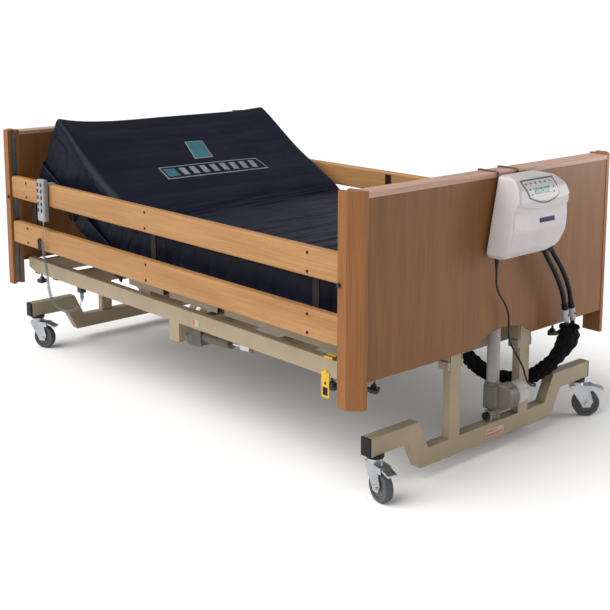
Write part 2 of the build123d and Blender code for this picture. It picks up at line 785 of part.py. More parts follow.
# ---------------------------------------------------------------- control box
CONTROL_X = (600, 840)
CONTROL_Y = (-110, 130)
CONTROL_Z = (312, BEAM_BOTTOM)
SOCKET = (-600, -578)        # handset socket under the near side beam, X and Y
SOCKET_Z = 345


def control_box():
    """The electronics box hung from a cross tube, and the handset's socket."""
    box = block(CONTROL_X, CONTROL_Y, CONTROL_Z)
    box = fillet(box.edges().filter_by(Axis.Z), 12)
    x, y = SOCKET
    socket = block((x - 15, x + 15), (y - 12, y + 12), (SOCKET_Z, BEAM_BOTTOM))
    return [box, socket]


# ---------------------------------------------------------------- handset
def handset_case():
    """The handset and the hook that it hangs by over the upper bar."""
    bar_front = -RAIL_Y - BAR_THICK / 2
    bar_top = UPPER_BAR_Z + BAR_HEIGHT / 2
    case = block((-755, -697), (bar_front - 27, bar_front - 3), (636, 812))
    case = fillet(case.edges().filter_by(Axis.Y), 10)
    back = block((-742, -710), (bar_front - 3, bar_front), (700, bar_top + 3))
    over = block((-742, -710), (bar_front, -RAIL_Y + BAR_THICK / 2 + 3), (bar_top, bar_top + 3))
    lip = block((-742, -710), (-RAIL_Y + BAR_THICK / 2, -RAIL_Y + BAR_THICK / 2 + 3), (768, bar_top))
    return case + back + over + lip


HANDSET_LEAD = [
    (-726, -671, 636), (-726, -671, 622), (-729, -672, 607), (-734, -672, 592),
]
HANDSET_CURL = [
    (-734, -672, 592), (-739, -672, 568), (-742, -671, 540), (-738, -670, 508), (-728, -670, 474),
    (-720, -670, 436), (-717, -669, 396), (-711, -668, 356), (-699, -665, 320), (-680, -657, 290),
    (-656, -643, 269), (-632, -622, 262), (-613, -600, 272), (-603, -584, 292), (-600, -578, 318),
]
HANDSET_PLUG_Z = 318


def handset_cord():
    """The handset's lead, its curly part as one fat tube, and the plug on its end."""
    x, y = SOCKET
    plug = rod((x, y, HANDSET_PLUG_Z), (x, y, SOCKET_Z), 8)
    return [
        cord_tube("handset lead", HANDSET_LEAD, 3),
        cord_tube("handset curl", HANDSET_CURL, CURL_R),
        plug,
    ]


# ---------------------------------------------------------------- mains lead and air hoses
COIL_X, COIL_Y = 770, -35
COIL_OUTER = 56
COIL_INNER = 28
COIL_HEIGHT = 30
MAINS_LEAD = [
    (1128, -50, 664), (1128, -50, 636), (1125, -44, 606), (1121, -22, 574), (1118, 8, 545),
    (1117, 30, 512), (1117, 38, 474), (1117, 36, 436), (1118, 42, 402), (1124, 60, 368),
    (1133, 77, 336), (1142, 91, 304), (1148, 97, 272), (1151, 110, 246), (1149, 136, 230),
    (1138, 166, 220), (1118, 196, 212), (1092, 222, 206), (1058, 238, 192), (1024, 236, 172),
    (990, 214, 158), (958, 184, 164), (932, 152, 194), (914, 118, 234), (899, 86, 276),
    (887, 54, 316), (875, 28, 350), (864, 12, 382), (846, -2, 406), (822, -16, 410),
    (802, -26, 396),
]
AIR_HOSES = (
    [
        (1140, 188, 720), (1140, 188, 698), (1143, 203, 671), (1147, 226, 638), (1149, 252, 601),
        (1150, 277, 559), (1150, 298, 514), (1148, 311, 472),
    ],
    [
        (1140, 213, 748), (1140, 213, 722), (1143, 230, 690), (1147, 256, 655), (1149, 286, 616),
        (1150, 314, 571), (1150, 336, 522), (1148, 349, 472),
    ],
)
CONNECTOR_LENGTH = 52
SLEEVE_MOUTH = (1146, 344, 405)
SLEEVE_BULGE_Z = 352
HOSE_SLEEVE = [
    SLEEVE_MOUTH, (1146, 344, 368), (1138, 332, 330), (1121, 313, 292), (1094, 299, 252),
    (1058, 291, 219), (1018, 277, 197), (985, 245, 190), (966, 198, 199), (957, 147, 222),
    (950, 98, 253), (943, 56, 290), (936, 26, 327), (930, 10, 362), (930, 10, 396),
]


def hose_connectors():
    """Sockets under the pump, the white quick connectors, and the block at the mattress."""
    pieces = []
    for (x, y), hose in zip(HOSE_EXITS, AIR_HOSES):
        socket = rod((x, y, hose[0][2]), (x, y, 768), 11)
        last_run = Vector(hose[-1]) - Vector(hose[-2])
        end = Vector(hose[-1]) + last_run.normalized() * CONNECTOR_LENGTH
        coupling = rod(hose[-1], end, 12)
        stub = rod(end, (end.X, end.Y, SLEEVE_MOUTH[2]), 9)
        pieces.extend([socket, coupling + stub])
    pieces.append(block((900, END_TUBE[0]), (-20, 40), (396, 422)))
    return pieces


def hose_sleeve():
    """The cloth sleeve round the hoses, wide at its mouth."""
    tube = cord_tube("hose sleeve", HOSE_SLEEVE, SLEEVE_R)
    x, y, top = SLEEVE_MOUTH
    mouth = cone(SLEEVE_MOUTH, (x - 3, y - 4, SLEEVE_BULGE_Z), 36, 39)
    taper = cone((x - 3, y - 4, SLEEVE_BULGE_Z), (1122, 314, 298), 39, 28)
    return tube + mouth + taper & block((850, 1200), (-100, 500), (100, top))


def mains_coil():
    """The part of the mains lead that is wound up on the control box."""
    base = CONTROL_Z[1]
    ring = Circle(COIL_OUTER) - Circle(COIL_INNER)
    return extrude(Pos(COIL_X, COIL_Y, base) * ring, amount=COIL_HEIGHT)


def mains_plug():
    """A plug beside the coil, with three flat pins."""
    x, y, z = COIL_X, 92, CONTROL_Z[1]
    body = fillet(block((x - 25, x + 25), (y - 26, y + 22), (z, z + 24)).edges().filter_by(Axis.Z), 8)
    pins = [
        block((x - 2, x + 2), (y + 22, y + 36), (z + 8, z + 16)),
        block((x - 14, x - 8), (y + 22, y + 34), (z + 10, z + 14)),
        block((x + 8, x + 14), (y + 22, y + 34), (z + 10, z + 14)),
    ]
    return body + pins


# ---------------------------------------------------------------- write the nodes
def write_ends():
    """End boards, the bases and the lifts of both ends."""
    save("board_posts", *both_sides(*both_ends(foot_near_post())))
    save("rail_channels", *both_sides(*both_ends(foot_near_channel())))
    save("board_top_rails", *both_ends(foot_top_rail()))
    save("footboard_panel", *foot_panels())
    save("headboard_panel", *(mirror(panel, about=Plane.YZ) for panel in foot_panels()))
    save("end_carriages", *both_ends(*foot_carriage()))
    save("lift_rods", *both_ends(foot_lift_rod()))
    save("frame_plastics", *both_sides(*both_ends(foot_collar())), *hand_screws())
    for end in ("foot", "head"):
        for part, pieces in (
            ("base_frame", foot_base_tubes()),
            ("base_trim", foot_base_trim()),
            ("lift_actuator", foot_lift_actuator()),
        ):
            if end == "head":
                pieces = [mirror(piece, about=Plane.YZ) for piece in pieces]
            save(f"{end}_{part}", *pieces)
    for name, (end, side, heading) in CASTERS.items():
        place = (end * BASE_X, side * CASTER_Y, heading)
        save(f"caster_fork_{name}", placed_caster(caster_fork(), *place))
        save(f"caster_wheel_{name}", placed_caster(caster_wheel(), *place))
        save(f"brake_pedal_{name}", placed_caster(brake_pedal(), *place))


def write_rails():
    """Side rails, their release buttons and the handset on the near rail."""
    near_bars = [near_bar(UPPER_BAR_Z), near_bar(LOWER_BAR_Z)]
    near_fittings = near_rail_fittings()
    save("near_rail_bars", *near_bars)
    save("near_rail_fittings", *near_fittings)
    save("far_rail_bars", *(mirror(bar, about=Plane.XZ) for bar in near_bars))
    save("far_rail_fittings", *(mirror(piece, about=Plane.XZ) for piece in near_fittings))
    button = foot_near_button()
    save("release_button_foot_near", button)
    save("release_button_head_near", mirror(button, about=Plane.YZ))
    save("release_button_foot_far", mirror(button, about=Plane.XZ))
    save("release_button_head_far", mirror(mirror(button, about=Plane.XZ), about=Plane.YZ))
    save("handset_case", handset_case())
    save("handset_cord", *handset_cord())


def write_lying_frame():
    """The frame, the four platform sections, their actuators and the mattress."""
    save("main_frame", *main_frame())
    save("seat_section", *seat_section())
    save("back_section", *back_section())
    save("thigh_section", *thigh_section())
    save("calf_section", *calf_section())
    back, seat, thigh, calf = mattress_parts()
    save("mattress_back", back)
    save("mattress_seat", seat)
    save("mattress_thigh", thigh)
    save("mattress_calf", calf)
    save("back_actuator", *actuator_body(BACK_MOTOR, ACTUATOR_Y, -1, 378, -1))
    back_rod_span = (228, BACK_REACH - 40)
    save("back_actuator_rod", actuator_rod(BACK_MOTOR, ACTUATOR_Y, back_rod_span, BACK_REACH, -1))
    knee_body = actuator_body(KNEE_MOTOR, -ACTUATOR_Y, 1, 285, 1)
    knee_rod_span = (130, KNEE_REACH - 40)
    knee_rod = actuator_rod(KNEE_MOTOR, -ACTUATOR_Y, knee_rod_span, KNEE_REACH, 1)
    save("knee_actuator", *(turned(piece, *KNEE_MOTOR, KNEE_TILT) for piece in knee_body))
    save("knee_actuator_rod", turned(knee_rod, *KNEE_MOTOR, KNEE_TILT))
    save("control_box", *control_box())


def write_pump():
    """The mattress pump on the footboard, its hoses and its mains lead."""
    save("pump_case", pump_case())
    save("pump_hooks", pump_hook(-20), pump_hook(84))
    save("pump_lead_boot", pump_lead_boot())
    save("air_hoses", *(cord_tube("air hose", hose, HOSE_D / 2) for hose in AIR_HOSES))
    save("hose_connectors", *hose_connectors())
    save("hose_sleeve", hose_sleeve())
    save("mains_lead", cord_tube("mains lead", MAINS_LEAD, LEAD_D / 2))
    save("mains_coil", mains_coil())
    save("mains_plug", mains_plug())


write_ends()
write_rails()
write_lying_frame()
write_pump()
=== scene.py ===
"""An adjustable hospital bed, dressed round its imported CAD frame."""
import json
import math

import bmesh
import bpy
from mathutils import Matrix, Vector, noise
from mathutils.bvhtree import BVHTree


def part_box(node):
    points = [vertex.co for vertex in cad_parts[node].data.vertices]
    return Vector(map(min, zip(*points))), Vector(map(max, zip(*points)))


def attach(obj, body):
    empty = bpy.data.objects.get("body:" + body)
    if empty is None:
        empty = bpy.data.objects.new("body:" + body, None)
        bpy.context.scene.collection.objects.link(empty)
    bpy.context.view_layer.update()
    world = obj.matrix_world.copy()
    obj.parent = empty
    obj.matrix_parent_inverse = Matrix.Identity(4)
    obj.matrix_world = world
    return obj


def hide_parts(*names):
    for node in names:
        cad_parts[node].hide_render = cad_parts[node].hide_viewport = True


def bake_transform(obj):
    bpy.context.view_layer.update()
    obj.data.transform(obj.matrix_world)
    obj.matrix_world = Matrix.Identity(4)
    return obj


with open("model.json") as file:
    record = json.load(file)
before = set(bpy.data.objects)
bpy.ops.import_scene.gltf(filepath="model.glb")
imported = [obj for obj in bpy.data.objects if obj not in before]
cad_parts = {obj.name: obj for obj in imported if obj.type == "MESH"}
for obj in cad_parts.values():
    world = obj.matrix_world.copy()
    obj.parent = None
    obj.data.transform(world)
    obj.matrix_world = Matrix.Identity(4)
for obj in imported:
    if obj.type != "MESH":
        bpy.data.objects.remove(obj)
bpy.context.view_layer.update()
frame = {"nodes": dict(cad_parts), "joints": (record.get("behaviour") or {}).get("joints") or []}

# ---------------------------------------------------------------- driving sizes, in millimetres
# Points are given about the middle of the bed, as the CAD drawing gives them, and at() moves
# them into the shared frame.
BOX_SHIFT = -32
PIVOT_Z = 457.5
BACK_PIVOT = -270
REST_ANGLE = math.radians(28)
BACK_FOLD = 160              # the mattress bends within this much of each side of a pivot
MATTRESS_LOW = 479
MATTRESS_TOP = 700
MATTRESS_HALF = 562
MATTRESS_HEAD = -1013
MATTRESS_FOOT = 993
CELL_PITCH = 272 / 3         # one air cell of the mattress
BACK_SEAM = -107             # where the mattress meshes meet, each in a groove between cells
THIGH_SEAM = 165
CORNERS = {"foot_near": (1, -1), "foot_far": (1, 1), "head_near": (-1, -1), "head_far": (-1, 1)}
LEAD_D = 0.007
HOSE_D = 0.018
CURL_WIRE_D = 0.003
PLATE_ROUND = 0.4            # rounding of stickers and tags, in mm
CURL_R = 0.0058
CURL_PITCH = 0.007
CURL_FADE = 0.05             # how far the curl takes to open out at each end
CURL_BEND = 0.0061           # the tightest bend, just over two wire diameters
CURL_EASE = 1.3              # extra drawing out of the turns where the curl opens


def at(x, y, z):
    """A point of the drawing in the shared frame, in metres."""
    return Vector(((x + BOX_SHIFT) / 1000, y / 1000, z / 1000))


def smooth(value):
    """A smooth step from 0 to 1."""
    value = min(max(value, 0.0), 1.0)
    return value * value * (3 - 2 * value)


# ---------------------------------------------------------------- materials
class Finish:
    """A material under construction, with short ways to add and join its nodes."""

    def __init__(self, name, **constants):
        self.material = bpy.data.materials.new(name)
        self.material.use_nodes = True
        self.nodes = self.material.node_tree.nodes
        self.links = self.material.node_tree.links
        self.shader = self.nodes["Principled BSDF"]
        for socket, value in constants.items():
            self.shader.inputs[socket.replace("_", " ")].default_value = value
        self.place = self.nodes.new("ShaderNodeTexCoord").outputs["Object"]

    def join(self, source, target):
        self.links.new(source, target)

    def stretched(self, scale, turn=(0, 0, 0)):
        """Object coordinates, scaled and turned."""
        mapping = self.nodes.new("ShaderNodeMapping")
        mapping.inputs["Scale"].default_value = scale
        mapping.inputs["Rotation"].default_value = turn
        self.join(self.place, mapping.inputs["Vector"])
        return mapping.outputs["Vector"]

    def noise(self, scale, detail=3.0, rough=0.5, vector=None, distortion=0.0):
        """A noise value, from 0 to 1."""
        node = self.nodes.new("ShaderNodeTexNoise")
        node.inputs["Scale"].default_value = scale
        node.inputs["Detail"].default_value = detail
        node.inputs["Roughness"].default_value = rough
        node.inputs["Distortion"].default_value = distortion
        self.join(vector or self.place, node.inputs["Vector"])
        return node.outputs["Fac"]

    def wave(self, scale, direction="X", vector=None, distortion=0.0, detail_scale=1.0):
        """Bands across one direction."""
        node = self.nodes.new("ShaderNodeTexWave")
        node.bands_direction = direction
        node.inputs["Scale"].default_value = scale
        node.inputs["Distortion"].default_value = distortion
        node.inputs["Detail Scale"].default_value = detail_scale
        self.join(vector or self.place, node.inputs["Vector"])
        return node.outputs["Fac"]

    def ramp(self, value, *stops):
        """A colour for each value, between (position, colour) stops."""
        node = self.nodes.new("ShaderNodeValToRGB")
        elements = node.color_ramp.elements
        while len(elements) < len(stops):
            elements.new(0.5)
        for element, (position, colour) in zip(elements, stops):
            element.position = position
            element.color = (*colour, 1)
        self.join(value, node.inputs["Fac"])
        return node.outputs["Color"]

    def mix(self, share, first, second, blend="MIX"):
        """Two colours mixed by a share, which is a number or a socket."""
        node = self.nodes.new("ShaderNodeMix")
        node.data_type = "RGBA"
        node.blend_type = blend
        for socket, value in ((0, share), (6, first), (7, second)):
            if hasattr(value, "is_linked"):
                self.join(value, node.inputs[socket])
            elif isinstance(value, tuple):
                node.inputs[socket].default_value = (*value, 1)
            else:
                node.inputs[socket].default_value = value
        return node.outputs[2]

    def math(self, operation, first, second=0.0, third=None):
        """One arithmetic step; each value is a number or a socket."""
        node = self.nodes.new("ShaderNodeMath")
        node.operation = operation
        values = (first, second) if third is None else (first, second, third)
        for socket, value in enumerate(values):
            if hasattr(value, "is_linked"):
                self.join(value, node.inputs[socket])
            else:
                node.inputs[socket].default_value = value
        return node.outputs[0]

    def span(self, value, low, high, to_low=0.0, to_high=1.0):
        """A value carried from one range to another, clamped."""
        node = self.nodes.new("ShaderNodeMapRange")
        for socket, number in zip(("From Min", "From Max", "To Min", "To Max"), (low, high, to_low, to_high)):
            node.inputs[socket].default_value = number
        self.join(value, node.inputs["Value"])
        return node.outputs["Result"]

    def axis(self, name):
        """One of the object coordinates."""
        node = self.nodes.new("ShaderNodeSeparateXYZ")
        self.join(self.place, node.inputs["Vector"])
        return node.outputs[name]

    def colour(self, value):
        self.join(value, self.shader.inputs["Base Color"])

    def roughness(self, value, low, high):
        self.join(self.span(value, 0.3, 0.7, low, high), self.shader.inputs["Roughness"])

    def bump(self, height, strength, distance=0.001):
        """Relief; each call adds to the ones before it."""
        node = self.nodes.new("ShaderNodeBump")
        node.inputs["Strength"].default_value = strength
        node.inputs["Distance"].default_value = distance
        self.join(height, node.inputs["Height"])
        before = self.shader.inputs["Normal"]
        if before.is_linked:
            self.join(before.links[0].from_socket, node.inputs["Normal"])
        self.join(node.outputs["Normal"], before)


def wood(name, dark, middle, light, grain, rough=(0.34, 0.5)):
    """Beech or a printed beech veneer: long soft bands, fine fibres and short dark flecks."""
    finish = Finish(name, Specular_IOR_Level=0.2)
    along = {"X": (1.3, 16, 16), "Y": (16, 1.3, 16), "Z": (16, 16, 1.3)}[grain]
    fibres = {"X": (5, 260, 260), "Y": (260, 5, 260), "Z": (260, 260, 5)}[grain]
    flecks = {"X": (60, 900, 500), "Y": (900, 60, 500), "Z": (900, 500, 60)}[grain]
    bands = finish.noise(1.0, 4.0, 0.55, finish.stretched(along), 0.6)
    base = finish.ramp(bands, (0.25, dark), (0.5, middle), (0.78, light))
    fibre = finish.noise(1.0, 3.0, 0.6, finish.stretched(fibres))
    base = finish.mix(
        0.55, base, finish.ramp(fibre, (0.32, (0.60, 0.56, 0.52)), (0.68, (1, 1, 1))), "MULTIPLY"
    )
    fleck = finish.noise(1.0, 2.0, 0.5, finish.stretched(flecks))
    spots = finish.span(fleck, 0.62, 0.70)
    finish.colour(finish.mix(finish.math("MULTIPLY", spots, 0.32), base, tuple(0.42 * c for c in dark)))
    finish.roughness(bands, *rough)
    finish.bump(fibre, 0.12, 0.0004)
    finish.bump(spots, -0.1, 0.0003)
    return finish.material


def painted(name, dark, light, rough=(0.34, 0.48), peel=420, scuffs=0.25):
    """Stove-painted steel: faint orange peel, patchy shade and a few scuffs."""
    finish = Finish(name, Specular_IOR_Level=0.3)
    patch = finish.noise(6.0, 4.0, 0.6)
    base = finish.ramp(patch, (0.3, dark), (0.7, light))
    scuff = finish.span(finish.noise(1.0, 5.0, 0.7, finish.stretched((40, 40, 150))), 0.66, 0.74)
    base = finish.mix(finish.math("MULTIPLY", scuff, scuffs), base, tuple(0.45 * c for c in dark))
    finish.colour(base)
    finish.roughness(patch, *rough)
    finish.bump(finish.noise(peel, 2.0, 0.5), 0.1, 0.0003)
    return finish.material


def moulded(name, dark, light, rough=(0.42, 0.6), grain=700, depth=0.22, **constants):
    """Moulded plastic or rubber with a fine eroded texture."""
    finish = Finish(name, **constants)
    patch = finish.noise(9.0, 3.0, 0.55)
    finish.colour(finish.ramp(patch, (0.3, dark), (0.7, light)))
    finish.roughness(finish.noise(60, 3.0, 0.6), *rough)
    finish.bump(finish.noise(grain, 2.0, 0.6), depth, 0.0003)
    return finish.material


def metal(name, dark, light, rough=(0.25, 0.4), brush=(8, 8, 900), depth=0.1):
    """Plated or drawn metal with marks along one direction."""
    finish = Finish(name, Metallic=1.0)
    patch = finish.noise(14, 4.0, 0.6)
    finish.colour(finish.ramp(patch, (0.3, dark), (0.7, light)))
    marks = finish.noise(1.0, 3.0, 0.6, finish.stretched(brush))
    finish.roughness(marks, *rough)
    finish.bump(marks, depth, 0.0003)
    return finish.material


def mattress_cover():
    """Navy coated stretch cover: a soft sheen, fine knit and slack little creases."""
    finish = Finish("mattress_cover_coated", Specular_IOR_Level=0.1)
    patch = finish.noise(5.0, 5.0, 0.6)
    base = finish.ramp(patch, (0.3, (0.0042, 0.0050, 0.0130)), (0.7, (0.0078, 0.0092, 0.0205)))
    finish.colour(base)
    slack = finish.noise(1.0, 3.0, 0.55, finish.stretched((24, 9, 18)), 0.9)
    finish.roughness(slack, 0.34, 0.48)
    finish.bump(slack, 0.16, 0.004)
    knit = finish.math("MULTIPLY", finish.wave(520, "X"), finish.wave(520, "Y"))
    finish.bump(knit, 0.08, 0.0003)
    return finish.material


def sleeve_cloth():
    """Matt black woven cloth."""
    finish = Finish("sleeve_cloth", Specular_IOR_Level=0.12)
    patch = finish.noise(30, 4.0, 0.6)
    finish.colour(finish.ramp(patch, (0.3, (0.0020, 0.0020, 0.0022)), (0.7, (0.0050, 0.0050, 0.0055))))
    finish.roughness(patch, 0.7, 0.9)
    weave = finish.math("MULTIPLY", finish.wave(700, "X"), finish.wave(700, "Z"))
    finish.bump(weave, 0.25, 0.0004)
    return finish.material


def lift_grey():
    """A lift's greys: mid-grey gearbox, paler motor, lilac-grey outer tube."""
    finish = Finish("lift_grey")
    patch = finish.noise(9.0, 3.0, 0.55)
    gearbox = finish.ramp(patch, (0.3, (0.115, 0.102, 0.080)), (0.7, (0.165, 0.148, 0.120)))
    motor = finish.ramp(patch, (0.3, (0.370, 0.358, 0.335)), (0.7, (0.450, 0.436, 0.410)))
    tube = finish.ramp(patch, (0.3, (0.265, 0.228, 0.222)), (0.7, (0.335, 0.292, 0.285)))
    plastic = finish.mix(finish.span(finish.axis("Y"), 0.0815, 0.0825), gearbox, motor)
    finish.colour(finish.mix(finish.span(finish.axis("Z"), 0.2395, 0.2405), plastic, tube))
    finish.roughness(patch, 0.38, 0.55)
    finish.bump(finish.noise(650, 2.0, 0.6), 0.18, 0.0003)
    return finish.material


def frame_plastics():
    """Black hand screws, and the cream collars that guide the end columns."""
    finish = Finish("frame_plastics")
    patch = finish.noise(9.0, 3.0, 0.55)
    black = finish.ramp(patch, (0.3, (0.005, 0.005, 0.0055)), (0.7, (0.010, 0.010, 0.0105)))
    cream = finish.ramp(patch, (0.3, (0.252, 0.200, 0.131)), (0.7, (0.308, 0.248, 0.168)))
    from_middle = finish.math("ABSOLUTE", finish.math("SUBTRACT", finish.axis("X"), BOX_SHIFT / 1000))
    finish.colour(finish.mix(finish.span(from_middle, 1.019, 1.021), black, cream))
    finish.roughness(patch, 0.4, 0.55)
    finish.bump(finish.noise(700, 2.0, 0.6), 0.2, 0.0003)
    return finish.material


def display():
    """A pale teal screen with softer darker fields, under a clear window."""
    finish = Finish("display_teal", Specular_IOR_Level=0.3)
    fields = finish.noise(1.0, 1.0, 0.4, finish.stretched((30, 120, 260)))
    finish.colour(finish.ramp(fields, (0.44, (0.07, 0.15, 0.15)), (0.5, (0.20, 0.36, 0.335))))
    finish.roughness(fields, 0.16, 0.24)
    finish.bump(finish.noise(900, 2.0, 0.5), 0.03, 0.0002)
    return finish.material


MATERIALS = {
    "beech": wood("beech_rails", (0.350, 0.172, 0.062), (0.412, 0.214, 0.083), (0.468, 0.255, 0.105), "X"),
    "beech_post": wood(
        "beech_posts", (0.232, 0.092, 0.028), (0.280, 0.117, 0.038), (0.325, 0.142, 0.050), "Z"
    ),
    "beech_panel": wood(
        "beech_veneer", (0.176, 0.073, 0.023), (0.210, 0.092, 0.031), (0.245, 0.113, 0.041), "Z"
    ),
    # The top rails' pale pinkish grey is partly the laminated rails' own tone and partly painted reflection:
    # the sheen their top faces catch at a grazing angle is painted into the colour.
    "beech_top": wood(
        "beech_top_rails_painted_sheen", (0.420, 0.250, 0.180), (0.500, 0.320, 0.245), (0.570, 0.385, 0.305), "Y"
    ),
    "cream": painted("frame_cream", (0.282, 0.222, 0.143), (0.338, 0.270, 0.180)),
    "bronze": moulded("strut_bronze", (0.012, 0.0085, 0.006), (0.020, 0.015, 0.011), Specular_IOR_Level=0.15),
    "zinc": metal("zinc_plate", (0.38, 0.400, 0.410), (0.62, 0.640, 0.650), (0.28, 0.46), (60, 60, 60), 0.15),
    "aluminium": metal("channel_aluminium", (0.20, 0.225, 0.26), (0.28, 0.31, 0.35), (0.3, 0.42)),
    "chrome": metal("rod_chrome", (0.55, 0.55, 0.57), (0.66, 0.66, 0.68), (0.06, 0.12), (500, 500, 4), 0.03),
    "wire": metal("hook_wire", (0.10, 0.075, 0.07), (0.16, 0.12, 0.11), (0.2, 0.34), (200, 200, 200), 0.05),
    "pin": metal("plug_pins", (0.52, 0.52, 0.54), (0.66, 0.66, 0.68), (0.15, 0.28), (200, 200, 200), 0.05),
    "black": moulded(
        "black_plastic", (0.005, 0.005, 0.0055), (0.010, 0.010, 0.0105), Specular_IOR_Level=0.25
    ),
    "black_gloss": moulded(
        "black_gloss", (0.004, 0.004, 0.0045), (0.008, 0.008, 0.0085), (0.18, 0.28), 500, 0.05
    ),
    "tyre": moulded("tyre_grey", (0.045, 0.047, 0.052), (0.075, 0.078, 0.085), (0.55, 0.75), 380, 0.35),
    "hub": moulded("hub_grey", (0.060, 0.058, 0.056), (0.090, 0.087, 0.084), (0.35, 0.5)),
    "pedal": metal("pedal_plate", (0.36, 0.40, 0.43), (0.52, 0.56, 0.59), (0.25, 0.4), (60, 60, 60), 0.15),
    "actuator": moulded("actuator_grey", (0.115, 0.102, 0.080), (0.165, 0.148, 0.120)),
    "can": moulded("motor_grey", (0.370, 0.358, 0.335), (0.450, 0.436, 0.410)),
    "box": moulded("control_box_grey", (0.018, 0.018, 0.020), (0.030, 0.030, 0.033)),
    "shell": moulded("pump_shell", (0.430, 0.398, 0.392), (0.480, 0.446, 0.440), (0.32, 0.45), 900, 0.06),
    "facia": moulded("pump_facia", (0.405, 0.385, 0.385), (0.455, 0.435, 0.435), (0.30, 0.4), 900, 0.06),
    "rim": moulded("pump_rim", (0.060, 0.062, 0.066), (0.090, 0.092, 0.096), (0.30, 0.4), 900, 0.06),
    "strip": moulded("plain_strip", (0.012, 0.012, 0.065), (0.022, 0.022, 0.095), Specular_IOR_Level=0.2),
    "connector": moulded("connector_white", (0.30, 0.30, 0.34), (0.40, 0.40, 0.44), (0.28, 0.4), 700, 0.06),
    "hose": moulded(
        "hose_black", (0.0025, 0.0025, 0.003), (0.005, 0.005, 0.006), (0.28, 0.4), Specular_IOR_Level=0.22
    ),
    "lead": moulded(
        "lead_black", (0.0035, 0.0035, 0.0035), (0.007, 0.007, 0.007), (0.34, 0.48), Specular_IOR_Level=0.25
    ),
    "handset": moulded("handset_grey", (0.240, 0.245, 0.250), (0.300, 0.305, 0.312), (0.35, 0.5)),
    "key": moulded("handset_keys", (0.012, 0.013, 0.018), (0.022, 0.024, 0.030), (0.4, 0.5)),
    "cord": moulded("cord_grey", (0.150, 0.160, 0.172), (0.205, 0.216, 0.230), (0.36, 0.5), 500, 0.08),
    "tag": moulded("tag_yellow", (0.560, 0.320, 0.008), (0.640, 0.385, 0.015), (0.4, 0.55), 300, 0.1),
    "teal": moulded("patch_teal", (0.016, 0.092, 0.125), (0.032, 0.140, 0.175), (0.5, 0.65), 900, 0.3),
    "pale": moulded("patch_pale", (0.150, 0.158, 0.190), (0.215, 0.225, 0.262), (0.5, 0.65), 900, 0.3),
    "sticker": moulded("sticker_pale", (0.350, 0.290, 0.225), (0.420, 0.355, 0.280), (0.4, 0.5), 300, 0.05),
    "sticker_red": moulded(
        "sticker_red", (0.330, 0.120, 0.065), (0.420, 0.160, 0.090), (0.4, 0.5), 300, 0.05
    ),
    "cover": mattress_cover(),
    "sleeve": sleeve_cloth(),
    "lift": lift_grey(),
    "plastics": frame_plastics(),
    "display": display(),
}

NODE_MATERIALS = {
    "beech": ("near_rail_bars", "far_rail_bars"),
    "beech_post": ("board_posts",),
    "beech_panel": ("footboard_panel", "headboard_panel"),
    "beech_top": ("board_top_rails",),
    "cream": (
        "foot_base_frame", "head_base_frame", "end_carriages", "main_frame",
        "seat_section", "back_section", "thigh_section", "calf_section",
    ),
    "bronze": ("near_rail_fittings", "far_rail_fittings"),
    "aluminium": ("rail_channels",),
    "chrome": ("lift_rods", "back_actuator_rod", "knee_actuator_rod"),
    "black": ("foot_base_trim", "head_base_trim"),
    "plastics": ("frame_plastics",),
    "lift": ("foot_lift_actuator", "head_lift_actuator"),
    "actuator": ("back_actuator", "knee_actuator"),
    "box": ("control_box",),
    "wire": ("pump_hooks",),
    "lead": ("pump_lead_boot",),
    "black_gloss": tuple(f"release_button_{corner}" for corner in CORNERS),
    "zinc": tuple(f"caster_fork_{corner}" for corner in CORNERS),
    "tyre": tuple(f"caster_wheel_{corner}" for corner in CORNERS),
    "pedal": tuple(f"brake_pedal_{corner}" for corner in CORNERS),
}


def paint_nodes():
    """Give every carried-over CAD node its finish."""
    for material, nodes in NODE_MATERIALS.items():
        for node in nodes:
            for place in frame["nodes"][node].material_slots:
                place.material = MATERIALS[material]


# ---------------------------------------------------------------- mesh helpers
def show(name, data, slot, body=None, *materials):
    """A new object from mesh or curve data, with its finish, and riding on its body."""
    piece = bpy.data.objects.new(name, data)
    bpy.context.scene.collection.objects.link(piece)
    for material in materials:
        data.materials.append(MATERIALS[material])
    if body:
        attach(piece, body)
    return piece


def to_mesh(name, bm, sharp=35):
    """The bmesh as a smooth mesh with its sharp edges kept."""
    bmesh.ops.recalc_face_normals(bm, faces=bm.faces[:])
    mesh = bpy.data.meshes.new(name)
    for face in bm.faces:
        face.smooth = True
    bm.to_mesh(mesh)
    bm.free()
    mesh.set_sharp_from_angle(angle=math.radians(sharp))
    return mesh


def formed(name, bm, slot, body, *materials, sharp=35):
    """The finished bmesh as a new piece."""
    return show(name, to_mesh(name, bm, sharp), slot, body, *materials)


def merge(bm, part, index):
    """Move a part's faces into bm, under one material index."""
    for face in part.faces:
        face.material_index = index
    mesh = bpy.data.meshes.new("part")
    part.to_mesh(mesh)
    part.free()
    bm.from_mesh(mesh)
    bpy.data.meshes.remove(mesh)


def add_block(bm, low, high, radius, segments=3, index=0, turn=None):
    """A box between two corners of the drawing, with rounded edges."""
    part = bmesh.new()
    bmesh.ops.create_cube(part, size=1)
    first, last = at(*low), at(*high)
    for vert in part.verts:
        vert.co = Vector([first[i] + (vert.co[i] + 0.5) * (last[i] - first[i]) for i in range(3)])
    bmesh.ops.bevel(
        part, geom=part.edges[:], offset=radius / 1000, segments=segments, profile=0.5,
        affect="EDGES", clamp_overlap=True,
    )
    if turn is not None:
        centre = (first + last) / 2
        bmesh.ops.rotate(part, verts=part.verts[:], cent=centre, matrix=turn)
    merge(bm, part, index)


